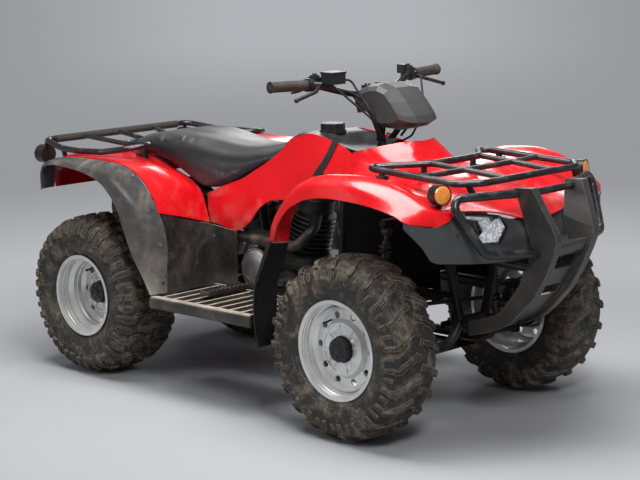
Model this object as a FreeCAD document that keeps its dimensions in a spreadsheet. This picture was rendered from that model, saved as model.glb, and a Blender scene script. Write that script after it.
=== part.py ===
import FreeCAD, Part, Sketcher
import math
import os
from FreeCAD import Placement, Rotation, Vector

# A utility quad bike: two racks, red bodywork, tubular frame, front wishbones,
# a solid rear axle on a swingarm, four knobbly tyres on steel rims.
# Millimetres. +X forward, +Y left, +Z up. While it is modelled, x is counted from the middle of the
# wheelbase; every piece is then placed by stand_x, so that the origin is under the middle of the whole.

doc = FreeCAD.newDocument("QuadBike")
sheet = doc.addObject("Spreadsheet::Sheet", "Sizes")

SIZES = [
    ("wheelbase", 1280),
    ("front_track", 846),
    ("rear_track", 760),
    ("front_tyre_radius", 293),
    ("rear_tyre_radius", 286),
    ("front_tyre_width", 205),
    ("rear_tyre_width", 250),
    ("front_bead_radius", 152),
    ("rear_bead_radius", 138),
    ("rim_lip", 8),
    ("rim_wall", 4),
    ("tyre_wall", 13),
    ("tread_depth", 14),
    ("front_lugs", 23),
    ("rear_lugs", 32),
    ("front_rim_width", 160),
    ("rear_rim_width", 208),
    ("front_disc_out", 38),
    ("rear_disc_out", 6),
    ("front_rim_holes", 10),
    ("rear_rim_holes", 8),
    ("rim_hole_radius", 11),
    ("front_hole_circle", 108),
    ("rear_hole_circle", 96),
    ("bore_radius", 32),
    ("hub_radius", 31.7),
    ("cap_radius", 37),
    ("drum_radius", 82),
    ("axle_radius", 16),
    ("axle_clearance", 0.05),
    ("frame_tube", 32),
    ("rack_tube", 22),
    ("rack_bar", 18),
    ("bumper_tube", 27),
    ("bar_tube", 22),
    ("grip_tube", 33),
    ("stem_tube", 28),
    ("panel_wall", 4),
    ("seat_gap", 0.3),
    ("kingpin_out", 372),
    ("caster", 5),
    ("stem_slope", 17.5),
    ("stem_top_x", 340),
    ("stem_top_z", 1000),
    ("pitman_drop", 670),
    ("pitman_arm", 64),
    ("pitman_half", 26),
    ("knuckle_arm", 80),
    ("front_rack_z", 828),
    ("rear_rack_z", 806),
    ("bar_z", 1078),
    ("bar_half", 405),
    ("step_z", 342),
    ("step_half", 500),
    ("lamp_x", 1052),
    ("lamp_slope", 0.46),
    ("cable", 7),
]

CELLS = []


def write_cells(cells):
    """Add named cells to the sheet: plain numbers, or formulas over the cells above them."""
    for name, value in cells:
        CELLS.append(name)
        sheet.set("A%d" % len(CELLS), name)
        sheet.set("B%d" % len(CELLS), str(value))
        sheet.setAlias("B%d" % len(CELLS), name)
    doc.recompute()


write_cells(SIZES)


def size(name):
    return float(sheet.get(name))


FX = size("wheelbase") / 2
RX = -size("wheelbase") / 2
FZ = size("front_tyre_radius")
RZ = size("rear_tyre_radius")
WALL = size("panel_wall")


# Small helpers for points and mirrored pieces.

def front(x, y, z):
    """A point measured from the middle, carried by the front axle when the wheelbase changes."""
    return Vector(x - 640 + FX, y, z)


def rear(x, y, z):
    """A point measured from the middle, carried by the rear axle when the wheelbase changes."""
    return Vector(x + 640 + RX, y, z)


def mirrored(shape):
    return shape.mirror(Vector(0, 0, 0), Vector(0, 1, 0))


def flip(point):
    return Vector(point.x, -point.y, point.z)


def fused(shapes):
    whole = shapes[0]
    if len(shapes) > 1:
        whole = shapes[0].fuse(shapes[1:])
    return whole.removeSplitter()


def pair(shape):
    return Part.makeCompound([shape, mirrored(shape)])


# Tubes: straight runs joined by tangent arcs.

def path_wire(points, bend):
    edges = []
    start = points[0]
    for before, corner, after in zip(points, points[1:], points[2:]):
        one = (before - corner).normalize()
        two = (after - corner).normalize()
        half = one.getAngle(two) / 2
        cut = min(bend / math.tan(half), 0.49 * (before - corner).Length, 0.49 * (after - corner).Length)
        radius = cut * math.tan(half)
        first = corner + one * cut
        last = corner + two * cut
        middle_way = (one + two).normalize()
        middle = corner + middle_way * (radius / math.sin(half) - radius)
        if (first - start).Length > 0.01:
            edges.append(Part.LineSegment(start, first).toShape())
        edges.append(Part.Arc(first, middle, last).toShape())
        start = last
    edges.append(Part.LineSegment(start, points[-1]).toShape())
    return Part.Wire(edges)


def tube(points, diameter, bend=40.0):
    """A closed-ended round tube along the points."""
    if len(points) == 2:
        run = points[1] - points[0]
        return Part.makeCylinder(diameter / 2, run.Length, points[0], run)
    spine = path_wire(points, bend)
    way = points[1] - points[0]
    ring = Part.Wire([Part.Circle(points[0], way, diameter / 2).toShape()])
    return spine.makePipeShell([ring], True, False)


# Panels: rows of points over the outer face, an inner face one wall further in, and closed edges.

def face_normals(rows):
    normals = []
    for i, row in enumerate(rows):
        line = []
        for j in range(len(row)):
            below = rows[max(i - 1, 0)][j]
            above = rows[min(i + 1, len(rows) - 1)][j]
            left = row[max(j - 1, 0)]
            right = row[min(j + 1, len(row) - 1)]
            line.append((above - below).cross(right - left).normalize())
        normals.append(line)
    return normals


def spline(points):
    if len(points) == 2:
        return Part.LineSegment(points[0], points[1]).toShape()
    curve = Part.BSplineCurve()
    curve.interpolate(points)
    return curve.toShape()


def spacing(rows):
    """Places from 0 to 1 along the rows, shared out by the mean distance between points."""
    steps = []
    for j in range(1, len(rows[0])):
        steps.append(sum((row[j] - row[j - 1]).Length for row in rows) / len(rows))
    places = [0.0]
    for step in steps:
        places.append(places[-1] + step / sum(steps))
    return places


def smooth_poles(points, places):
    """Control points of a cubic that passes each point in the direction of its two neighbours."""
    last = len(points) - 1
    slopes = []
    for i in range(last + 1):
        a, b = max(i - 1, 0), min(i + 1, last)
        slopes.append((points[b] - points[a]) * (1 / (places[b] - places[a])))
    poles = [points[0]]
    for i in range(last):
        third = (places[i + 1] - places[i]) / 3
        poles += [points[i] + slopes[i] * third, points[i + 1] - slopes[i + 1] * third]
    return poles + [points[last]]


def skin(rows, along, across):
    """A smooth surface through a grid of points, which bends only near the points that bend it."""
    half = [smooth_poles(row, across) for row in rows]
    poles = list(zip(*[smooth_poles(line, along) for line in zip(*half)]))
    mults = [[4] + [2] * (len(places) - 2) + [4] for places in (along, across)]
    surface = Part.BSplineSurface()
    surface.buildFromPolesMultsKnots([list(line) for line in poles], mults[0], mults[1], along, across,
                                     False, False, 3, 3)
    return surface


def border(surface):
    """The four edge curves of a surface, in one order."""
    first_u, last_u, first_v, last_v = surface.bounds()
    return [surface.uIso(first_u), surface.uIso(last_u), surface.vIso(first_v), surface.vIso(last_v)]


def strip(one, two):
    """A straight strip between two curves that have the same knots."""
    poles = [list(ends) for ends in zip(one.getPoles(), two.getPoles())]
    surface = Part.BSplineSurface()
    surface.buildFromPolesMultsKnots(poles, one.getMultiplicities(), [2, 2], one.getKnots(), [0.0, 1.0],
                                     False, False, one.Degree, 1)
    return surface.toShape()


def panel(rows, wall, side=1):
    """A sheet of the given wall whose outer face passes through the rows; side chooses inwards."""
    normals = face_normals(rows)
    inner_rows = []
    for row, ways in zip(rows, normals):
        inner_rows.append([point - way * (wall * side) for point, way in zip(row, ways)])
    along, across = spacing(list(zip(*rows))), spacing(rows)
    outer = skin(rows, along, across)
    inner = skin(inner_rows, along, across)
    faces = [outer.toShape(), inner.toShape()]
    faces += [strip(a, b) for a, b in zip(border(outer), border(inner))]
    shell = Part.makeShell(faces)
    shell.sewShape(0.01)
    if shell.ShapeType != "Shell":
        shell = shell.Shells[0]
    solid = Part.makeSolid(shell)
    if solid.Volume < 0:
        solid.reverse()
    return solid


def shifted(rows, out, side=1):
    """The rows moved outwards, square to the face that they span."""
    moved = []
    for row, ways in zip(rows, face_normals(rows)):
        moved.append([point + way * (out * side) for point, way in zip(row, ways)])
    return moved


def slab(rows, side=1, depth=12.0):
    """The room that a panel takes: from one seat gap outside its outer face to a depth inside it."""
    return panel(shifted(rows, size("seat_gap"), side), depth, side)


def largest(shape):
    return max(shape.Solids, key=lambda solid: solid.Volume)


def whole_rows(half_rows):
    """Rows from the left edge over the middle to the right edge, from rows that start at the middle."""
    return [list(reversed(row)) + [flip(p) for p in row[1:]] for row in half_rows]


def block(corners, low, high):
    """A prism over a closed outline in x and z, from y = low to y = high."""
    points = [Vector(x, low, z) for x, z in corners]
    return Part.Face(Part.makePolygon(points + points[:1])).extrude(Vector(0, high - low, 0))


PIECES = {}


def feature(name, shape):
    piece = doc.addObject("Part::Feature", name)
    piece.Label = name
    piece.Shape = shape
    PIECES[name] = piece
    return piece


# Wheels. Each rim is a turned barrel with a disc; the disc's holes are a polar pattern.

def bound_outline(name, corners):
    """Write an outline's corners into the sheet, then draw and bind them in a new body's sketch."""
    cells = []
    for i, (along, across) in enumerate(corners):
        cells += [("%s_y%d" % (name, i), "=" + along), ("%s_r%d" % (name, i), "=" + across)]
    write_cells(cells)
    body = doc.addObject("PartDesign::Body", name + "_body")
    sketch = body.newObject("Sketcher::SketchObject", name + "_profile")
    sketch.AttachmentSupport = plane_of(body, "YZ_Plane")
    sketch.MapMode = "FlatFace"
    places = [Vector(size("%s_y%d" % (name, i)), size("%s_r%d" % (name, i)), 0) for i in range(len(corners))]
    for i, place in enumerate(places):
        sketch.addGeometry(Part.LineSegment(place, places[(i + 1) % len(places)]), False)
    for i, place in enumerate(places):
        sketch.addConstraint(Sketcher.Constraint("Coincident", i, 2, (i + 1) % len(places), 1))
        for kind, axis, value in (("DistanceX", "y", place.x), ("DistanceY", "r", place.y)):
            index = sketch.addConstraint(Sketcher.Constraint(kind, -1, 1, i, 1, value))
            sketch.setExpression("Constraints[%d]" % index, "Sizes.%s_%s%d" % (name, axis, i))
    return body, sketch


def plane_of(body, role):
    return ([item for item in body.Origin.OriginFeatures if item.Role == role][0], [""])


def rim_shape(name):
    """A rim with its outer side towards +Y, centred on the tyre: a turned barrel, its disc's holes patterned."""
    half, bead, disc = name + "_rim_width / 2", name + "_bead_radius", name + "_disc_out"
    wall, lip, bore = "rim_wall", "rim_lip", "bore_radius"
    well = bead + " - 14"
    low_well = "%s - %s" % (well, wall)
    low_bead = "%s - %s" % (bead, wall)
    high = "%s + %s" % (bead, lip)
    thin = wall + " * 1.5"
    body, sketch = bound_outline(name + "_rim", [
        ("0 - %s - %s" % (half, wall), high), ("0 - " + half, high), ("0 - " + half, bead),
        ("0 - %s * 0.62" % half, bead), ("0 - %s * 0.5" % half, well), (half + " * 0.5", well),
        (half + " * 0.62", bead), (half, bead), (half, high), ("%s + %s" % (half, wall), high),
        ("%s + %s" % (half, wall), low_bead), (half + " * 0.62 - 2", low_bead), (half + " * 0.5 - 2", low_well),
        (disc + " + 9", low_well), (disc + " - 2", bead + " - 30"), (disc + " - 2", bead + " * 0.62"),
        (disc + " + 9", bead + " * 0.56"), (disc + " + 9", bore), ("%s + 9 - %s" % (disc, thin), bore),
        ("%s + 9 - %s" % (disc, thin), bead + " * 0.56 - 3"), ("%s - 2 - %s" % (disc, thin), bead + " * 0.62 - 3"),
        ("%s - 2 - %s" % (disc, thin), bead + " - 27"), (disc + " - 4", low_well),
        ("2 - %s * 0.5" % half, low_well), ("2 - %s * 0.62" % half, low_bead),
        ("0 - %s - %s" % (half, wall), low_bead)])
    barrel = body.newObject("PartDesign::Revolution", name + "_barrel")
    barrel.Profile = sketch
    barrel.ReferenceAxis = (sketch, ["H_Axis"])
    barrel.Angle = 360
    hole = body.newObject("Sketcher::SketchObject", name + "_hole")
    hole.AttachmentSupport = plane_of(body, "XZ_Plane")
    hole.MapMode = "FlatFace"
    out = size(name + "_hole_circle")
    hole.addGeometry(Part.Circle(Vector(out, 0, 0), Vector(0, 0, 1), size("rim_hole_radius")), False)
    hole.addConstraint(Sketcher.Constraint("PointOnObject", 0, 3, -1))
    place = hole.addConstraint(Sketcher.Constraint("DistanceX", -1, 1, 0, 3, out))
    hole.setExpression("Constraints[%d]" % place, "Sizes.%s_hole_circle" % name)
    across = hole.addConstraint(Sketcher.Constraint("Radius", 0, size("rim_hole_radius")))
    hole.setExpression("Constraints[%d]" % across, "Sizes.rim_hole_radius")
    pocket = body.newObject("PartDesign::Pocket", name + "_pocket")
    pocket.Profile = hole
    pocket.Type = "ThroughAll"
    pocket.Midplane = True
    pattern = body.newObject("PartDesign::PolarPattern", name + "_holes")
    pattern.Originals = [pocket]
    pattern.Axis = plane_of(body, "Y_Axis")
    pattern.Angle = 360
    pattern.setExpression("Occurrences", "Sizes.%s_rim_holes" % name)
    body.Tip = pattern
    doc.recompute()
    return body.Shape.Solids[0]


def faceted_ring(outline, sides):
    """A closed outline in y and radius, carried round the Y axis in flat facets."""
    rings = []
    for i in range(sides):
        turn = 2 * math.pi * (i + 0.5) / sides - math.pi / 2
        rings.append([Vector(r * math.cos(turn), y, r * math.sin(turn)) for y, r in outline])
    faces = []
    for i in range(sides):
        here, there = rings[i - 1], rings[i]
        for j in range(len(outline)):
            corners = [here[j - 1], here[j], there[j], there[j - 1]]
            faces.append(Part.Face(Part.makePolygon(corners + corners[:1])))
    solid = Part.makeSolid(Part.makeShell(faces))
    if solid.Volume < 0:
        solid.reverse()
    return solid


def lug_ring(outline, width, skew, pitches):
    """Lugs all round one side of a tyre: an outline in y and radius made thick, skewed and repeated."""
    points = [Vector(-width / 2, y, -r) for y, r in outline]
    lug = Part.Face(Part.makePolygon(points + points[:1])).extrude(Vector(width, 0, 0))
    lug.rotate(Vector(0, outline[0][0], 0), Vector(0, 0, 1), skew)
    lugs = []
    for i in range(int(pitches)):
        copy = lug.copy()
        copy.rotate(Vector(0, 0, 0), Vector(0, 1, 0), 360 * i / pitches)
        lugs.append(copy)
    return lugs


def tyre_shape(radius, width, bead, rim_width, sides, lugs):
    """A tyre whose beads sit on the rim: a faceted carcass, and on each side a ring of lugs out to the radius."""
    gap = 0.3
    half = width / 2 - 2
    seat = rim_width / 2 - gap
    wall = size("tyre_wall")
    crown = radius - size("tread_depth")
    outwards = 1 / math.cos(math.pi / int(sides))
    foot = (bead + gap) * outwards
    over_lip = (bead + size("rim_lip") + gap) * outwards
    outer = [(seat, foot), (seat, over_lip), (half, bead + 46), (half - 2, radius - 52),
             (half * 0.8, crown)]
    inner = [(half - wall - 6, radius - 50), (seat - wall, foot)]
    one_side = outer + [(-y, r) for y, r in reversed(outer)]
    outline = one_side + [(-y, r) for y, r in reversed(inner)] + inner
    carcass = faceted_ring(outline, int(sides))
    left = lug_ring(*lugs)
    half_pitch = 180 / lugs[3]
    right = []
    for lug in left:
        other = mirrored(lug)
        other.rotate(Vector(0, 0, 0), Vector(0, 1, 0), half_pitch)
        right.append(other)
    return carcass.fuse(left + right).removeSplitter()


def at_wheel(shape, x, y, z):
    """Put a wheel piece at its place; on the right side its outer face looks to -Y."""
    placed = shape.copy()
    if y < 0:
        placed = mirrored(placed)
    placed.translate(Vector(x, y, z))
    return placed


def build_wheels():
    front_y = size("front_track") / 2
    rear_y = size("rear_track") / 2
    front_rim = rim_shape("front")
    front_half = size("front_tyre_width") / 2
    long_lug = [(5, FZ), (front_half * 0.66, FZ - 5), (front_half, FZ - 48), (front_half - 14, FZ - 52),
                (5, FZ - 24)]
    front_tyre = tyre_shape(FZ, size("front_tyre_width"), size("front_bead_radius"), size("front_rim_width"),
                            size("front_lugs"), (long_lug, 24, 14, size("front_lugs")))
    rear_rim = rim_shape("rear")
    rear_half = size("rear_tyre_width") / 2
    short_lug = [(8, RZ), (rear_half * 0.72, RZ - 5), (rear_half, RZ - 40), (rear_half - 14, RZ - 46),
                 (8, RZ - 24)]
    rear_tyre = tyre_shape(RZ, size("rear_tyre_width"), size("rear_bead_radius"), size("rear_rim_width"),
                           size("rear_lugs") / 2, (short_lug, 21, 8, size("rear_lugs")))
    for name, way in (("left", 1), ("right", -1)):
        feature("front_rim_" + name, at_wheel(front_rim, FX, way * front_y, FZ))
        feature("front_tyre_" + name, at_wheel(front_tyre, FX, way * front_y, FZ))
    feature("rear_rims", pair(at_wheel(rear_rim, RX, rear_y, RZ)))
    feature("rear_tyres", pair(at_wheel(rear_tyre, RX, rear_y, RZ)))


def turned(centre, y_from, y_to, radius):
    """A disc or shaft along Y between two places, given as distances from the middle."""
    return Part.makeCylinder(radius, y_to - y_from, Vector(centre.x, y_from, centre.z), Vector(0, 1, 0))


def build_hubs():
    front_y = size("front_track") / 2
    disc_face = front_y + size("front_disc_out") + 9
    disc_back = disc_face - size("rim_wall") * 1.5
    at = Vector(FX, 0, FZ)
    seat = size("rim_wall") * 1.5
    hub = fused([
        turned(at, disc_back - 42, disc_back, size("drum_radius") * 0.75),
        turned(at, disc_back - 1, disc_face, size("hub_radius")),
        turned(at, disc_face, disc_face + 4, size("cap_radius") + 6),
        turned(at, disc_face + 2, disc_face + 24, size("cap_radius"))])
    hub = hub.cut(turned(at, disc_back - 60, disc_back - 8, size("axle_radius") + size("axle_clearance")))
    feature("front_hub_left", hub)
    feature("front_hub_right", mirrored(hub))
    rear_y = size("rear_track") / 2
    rear_face = rear_y + size("rear_disc_out") + 9
    rear_at = Vector(RX, 0, RZ)
    shaft = turned(rear_at, -rear_face + 2, rear_face - 2, size("axle_radius"))
    one = fused([
        turned(rear_at, rear_face - seat - 40, rear_face - seat, 52),
        turned(rear_at, rear_face - seat - 1, rear_face, size("hub_radius")),
        turned(rear_at, rear_face, rear_face + 4, size("cap_radius") + 4),
        turned(rear_at, rear_face + 2, rear_face + 26, size("cap_radius") - 1)])
    feature("rear_axle", fused([shaft, one, mirrored(one)]))


# Steering: kingpins on the front axle line, a sloping stem and two tie rods.

def kingpin():
    return Vector(FX, size("kingpin_out"), FZ)


def kingpin_way():
    angle = math.radians(size("caster"))
    return Vector(-math.sin(angle), 0, math.cos(angle))


def stem_way():
    angle = math.radians(size("stem_slope"))
    return Vector(-math.sin(angle), 0, math.cos(angle))


def stem_top():
    return front(size("stem_top_x"), 0, size("stem_top_z"))


def stem_foot():
    return stem_top() - stem_way() * (size("pitman_drop") / math.cos(math.radians(size("stem_slope"))))


def stem_across():
    """The direction forward, square to the stem."""
    return Vector(0, 1, 0).cross(stem_way())


def pitman_pin():
    foot = stem_foot()
    back = stem_across() * -size("pitman_arm")
    return foot + back + Vector(0, size("pitman_half"), 0)


def knuckle_pin():
    across = Vector(0, 1, 0).cross(kingpin_way())
    return kingpin() + across * -size("knuckle_arm") + kingpin_way() * 22


def build_knuckles():
    centre = kingpin()
    up = kingpin_way()
    post = Part.makeCylinder(15, 120, centre - up * 60, up)
    spindle_end = size("front_track") / 2 + size("front_disc_out") + 9 - size("rim_wall") * 1.5 - 9
    spindle = turned(Vector(FX, 0, FZ), centre.y, spindle_end, size("axle_radius"))
    plate_at = size("front_track") / 2 + size("front_disc_out") + 9 - size("rim_wall") * 1.5 - 42 - 14
    plate = turned(Vector(FX, 0, FZ), plate_at, plate_at + 6, size("drum_radius"))
    pin = knuckle_pin()
    arm = tube([centre + up * 4, pin - up * 21], 22)
    pad = Part.makeCylinder(17, 12, pin - up * 20, up)
    boot = Part.makeCylinder(11, 15, pin - up * 20, up)
    shape = fused([post, spindle, plate, arm, pad, boot])
    feature("knuckle_left", shape)
    feature("knuckle_right", mirrored(shape))


def build_tie_rods():
    """Each rod hangs on the pitman plate; its outer eye stays clear over the knuckle's arm at full lock."""
    inner = pitman_pin()
    outer = knuckle_pin()
    inner_up = stem_way()
    outer_up = kingpin_way()
    eye_in = Part.makeCylinder(15, 16, inner + inner_up * 8.8, inner_up)
    eye_out = Part.makeCylinder(15, 16, outer - outer_up * 3.2, outer_up)
    rod = tube([inner + inner_up * 16.8, outer + outer_up * 5.2], 14)
    rod = rod.cut(Part.makeCylinder(15, 60, inner - inner_up * 51.2, inner_up))
    rod = rod.cut(Part.makeCylinder(17.5, 60, outer - outer_up * 63.2, outer_up))
    shape = fused([eye_in, eye_out, rod])
    feature("tie_rod_left", shape)
    feature("tie_rod_right", mirrored(shape))


def bar_clamp(more):
    """The block on top of the stem that holds the bar; more makes it larger all round."""
    clamp = Part.makeBox(56 + 2 * more, 110 + 2 * more, 66 + 2 * more)
    clamp.translate(Vector(-28 - more, -55 - more, -22 - more))
    clamp.rotate(Vector(0, 0, 0), Vector(0, 1, 0), -size("stem_slope"))
    clamp.translate(stem_top())
    return clamp


def build_steering():
    top = stem_top()
    foot = stem_foot()
    up = stem_way()
    across = stem_across()
    shaft = Part.makeCylinder(size("stem_tube") / 2, (top - foot).Length + 6, foot - up * 6, up)
    pin = pitman_pin()
    plate = []
    for point in (pin, flip(pin)):
        plate.append(Part.makeCylinder(16, 16, point - up * 8, up))
        plate.append(tube([foot, point], 15))
    bar = bar_tube(size("bar_tube") + 2 * size("seat_gap"))
    feature("steering_shaft", fused([shaft] + plate + [bar_clamp(0)]).cut([bar, mirrored(bar)]))


def bar_point(x, y, z):
    """A point on the handlebar, from its place at the grips."""
    return front(x, y, z)


def bar_end(out):
    """A point on the straight end of the bar, at a distance out from the middle."""
    z = size("bar_z")
    first, last = bar_point(290, 235, z - 2), bar_point(266, 403, z + 1)
    return first + (last - first) * ((out - first.y) / (last.y - first.y))


def bar_tube(diameter):
    """The right half of the bar, from its end to the middle of the clamp."""
    z = size("bar_z")
    centre = stem_top() + stem_way() * 34
    return tube([bar_end(size("bar_half") - 2), bar_point(290, 235, z - 2), bar_point(322, 120, z - 34),
                 Vector(centre.x, 60, centre.z), Vector(centre.x, 0, centre.z)], diameter, 60)


def build_handlebar():
    half = bar_tube(size("bar_tube"))
    feature("handlebar", fused([half, mirrored(half)]))
    outer = bar_end(size("bar_half"))
    inner = bar_end(262)
    way = (outer - inner).normalize()
    grip = Part.makeCylinder(size("grip_tube") / 2, (outer - inner).Length, inner, way)
    core = Part.makeCylinder(size("bar_tube") / 2 + 0.05, 300, inner - way * 20, way)
    end = Part.makeCylinder(size("grip_tube") / 2 + 3, 5, inner, way)
    feature("grips", pair(fused([grip, end]).cut(core)))


def bar_core():
    """The room that the bar takes inside a piece clamped on its straight end."""
    return Part.makeCylinder(size("bar_tube") / 2 + 0.05, 120, bar_end(300), bar_end(200) - bar_end(300))


def build_controls():
    """Levers on their perches, a thumb throttle, a switch box and the brake's fluid tank."""
    z = size("bar_z")
    tip = bar_point(338, 357, z - 40)
    lever = tube([bar_point(318, 232, z - 4), bar_point(342, 270, z - 18), tip], 12, 30)
    perch = tube([bar_end(246), bar_point(330, 228, z - 2)], 24)
    collar = tube([bar_end(237), bar_end(259)], 44)
    side = fused([lever, Part.makeSphere(8, tip), perch, collar])
    bar = bar_tube(size("bar_tube") + 2 * size("seat_gap"))
    box = Part.makeBox(34, 30, 30, bar_point(258, 208, z + 2))
    box_foot = Part.makeBox(24, 22, 30, bar_point(262, 226, z - 10))
    left = fused([side, box, box_foot]).cut([bar_core(), bar])
    tank = Part.makeBox(52, 62, 34, bar_point(325, -232, z + 2))
    lid = Part.makeBox(56, 66, 6, bar_point(323, -234, z + 36))
    thumb = tube([flip(bar_end(252)) + Vector(-16, 0, -12), flip(bar_end(262)) + Vector(-34, -4, -22),
                  flip(bar_end(284)) + Vector(-44, 0, -26)], 10, 12)
    right = fused([mirrored(side), tank, lid, thumb]).cut([mirrored(bar_core()), mirrored(bar)])
    feature("controls", Part.makeCompound([largest(left), largest(right)]))


def build_cables():
    """A cable from each perch and the brake's hose, led under the nacelle and down beside the stem."""
    z = size("bar_z")
    start = bar_point(330, 228, z - 2)
    way = (start - bar_end(246)).normalize()
    start = start + way * (2 * size("seat_gap"))
    cable = tube([start, start + way * 34, front(452, 130, 968), front(452, 66, 893), front(410, 22, 862)],
                 size("cable"), 24)
    tank_side = bar_point(351, -170 + size("seat_gap"), z + 14)
    hose = tube([tank_side, front(351, -118, z + 8), front(418, -104, 990), front(424, -60, 888),
                 front(388, -34, 850)], size("cable"), 20)
    feature("cables", Part.makeCompound([cable, mirrored(cable), hose]))


def build_nacelle():
    """The creased instrument pod over the handlebar's middle, its sides drawn in."""
    outline = [(300, 1024), (330, 1052), (380, 1070), (430, 1076), (478, 1062), (520, 1022), (560, 975),
               (571, 953), (545, 938), (500, 926), (430, 928), (354, 990)]
    middle = (436, 1000)
    wires = []
    for y, share in ((-86, 0.7), (-72, 0.9), (-38, 1.0), (38, 1.0), (72, 0.9), (86, 0.7)):
        points = [front(middle[0] + (x - middle[0]) * share, y, middle[1] + (z - middle[1]) * share)
                  for x, z in outline]
        wires.append(Part.makePolygon(points + points[:1]))
    gap = size("seat_gap")
    bar = bar_tube(size("bar_tube") + 2 * gap)
    stem = Part.makeCylinder(size("stem_tube") / 2 + gap, 200, stem_top() - stem_way() * 180, stem_way())
    shape = Part.makeLoft(wires, True, True).cut([bar, mirrored(bar), bar_clamp(gap), stem])
    feature("nacelle", largest(shape))


# Frame, engine and what hangs on them.

def arm_brackets(low, high, rail):
    """Two plates that hold a wishbone's pivot tube between them, reaching in to the frame rail."""
    plates = []
    for end, way in ((low, -1), (high, 1)):
        x = end.x + way * size("seat_gap")
        outline = [(rail - 8, end.z - 14), (rail - 8, end.z + 14), (end.y + 12, end.z + 14), (end.y + 12, end.z - 14)]
        points = [Vector(x, y, z) for y, z in outline]
        plates.append(Part.Face(Part.makePolygon(points + points[:1])).extrude(Vector(way * 6, 0, 0)))
    return plates


def arm_pivots():
    """Each wishbone's pivot line on the frame: lower rear and front end, upper rear and front end."""
    return (front(550, 150, 252), front(725, 150, 252)), (front(530, 148, 420), front(735, 148, 420))


def shock_bar(more):
    """The bar on the frame's left side that carries a front damper's upper eye; more makes it thicker."""
    return tube([front(600, 112, 652), front(606, 250, 656)], size("frame_tube") - 8 + 2 * more)


def build_frame():
    d = size("frame_tube")
    gap = size("seat_gap")
    step = size("step_z") - 22 - gap - (d - 6) / 2
    low, high = arm_pivots()
    side = [
        tube([front(770, 60, 330), front(770, 112, 262), front(700, 118, 238), front(300, 128, 232),
              rear(-250, 128, 250), rear(-300, 120, 420), rear(-330, 110, 640), rear(-880, 110, 735)], d, 60),
        tube([front(770, 60, 330), front(772, 100, 470), front(730, 105, 640), front(520, 100, 700),
              front(200, 70, 720), rear(-330, 110, 640)], d, 60),
        tube([front(600, 112, 232), front(600, 112, 660)], d - 6),
        tube([front(300, 104, 700), front(300, 128, 232)], d - 4),
        tube([front(500, 112, 420), front(770, 95, 420)], d - 10),
        tube([front(500, 112, 420), front(500, 112, 690)], d - 10),
        tube([front(752, 104, 560), front(1080, 86, 545)], d - 8),
        tube([front(770, 60, 330), front(838, 80, 320)], d - 8),
        shock_bar(0),
        tube([front(241.3, 128, 236), front(241.3, 128, step), front(241.3, size("step_half") - 34 - gap, step)],
             d - 6, 30),
        tube([rear(-215, 128, 250), rear(-215, 128, step), rear(-215, size("step_half") - 34 - gap, step)],
             d - 6, 30),
    ]
    side += arm_brackets(low[0], low[1], 112) + arm_brackets(high[0], high[1], 112)
    for x in (-120, 80):
        side.append(Part.makeBox(34, 48, 20, front(x, 80, 255 - gap - 20)))
    cross = [
        tube([front(770, 60, 330), front(770, -60, 330)], d),
        tube([front(730, 105, 636), front(730, -105, 636)], d - 6),
        tube([front(430, 118, 232), front(430, -118, 232)], d - 4),
        tube([rear(-250, 120, 252), rear(-250, -120, 252)], d - 4),
        tube([rear(-860, 110, 731), rear(-860, -110, 731)], d - 6),
        tube([rear(-500, 110, 670), rear(-500, -110, 670)], d - 6),
    ]
    head = Part.makeCylinder(24, 60, stem_top() - stem_way() * 330, stem_way())
    head_cross = tube([front(440, 95, 695), front(440, -95, 695)], d - 6)
    hanger = tube([rear(-620, -112, 690), rear(-620, -150, 590)], 14)
    shapes = side + [mirrored(s) for s in side] + cross + [head, head_cross, hanger]
    bore = Part.makeCylinder(size("stem_tube") / 2 + 0.05, 1200, stem_foot() - stem_way() * 100, stem_way())
    whole = fused(shapes).cut([bore, silencer(gap), guard_shield(gap)] + guard_uprights(gap))
    feature("frame", largest(whole))


def build_engine():
    case = Part.makeBox(360, 240, 200, front(-190, -120, 255))
    case = case.makeFillet(24, case.Edges)
    cover = Part.makeCylinder(82, 42, front(-70, -160, 400), Vector(0, 1, 0))
    small = Part.makeCylinder(58, 34, front(70, -150, 360), Vector(0, 1, 0))
    other = Part.makeCylinder(78, 34, front(-60, 118, 390), Vector(0, 1, 0))
    fins = []
    lean = Vector(0.25, 0, 1).normalize()
    base = front(20, 0, 450)
    barrel = Part.makeCylinder(52, 210, base, lean)
    for i in range(8):
        fins.append(Part.makeCylinder(78, 5, base + lean * (30 + 17 * i), lean))
    top = Part.makeCylinder(64, 46, base + lean * 168, lean)
    whole = fused([case, cover, small, other, barrel, top] + fins)
    feature("engine", whole.cut(header_pipe(size("seat_gap"))))


def silencer(more):
    return Part.makeCylinder(58 + more, 360 + 2 * more, rear(-800 - more, -150, 560), Vector(1, 0, -0.08))


def header_pipe(more):
    return tube([front(100, -30, 600), front(160, -110, 566), front(120, -154, 504), front(-120, -154, 512),
                 rear(-420, -150, 524)], 38 + 2 * more, 50)


def build_exhaust():
    way = Vector(1, 0, -0.08).normalize()
    low = Vector(-way.z, 0, way.x) * 6
    tail = Part.makeCylinder(17, 60, rear(-800, -150, 560) - way * 50 + low, way)
    feature("exhaust", fused([header_pipe(0), silencer(0), tail]))


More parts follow.
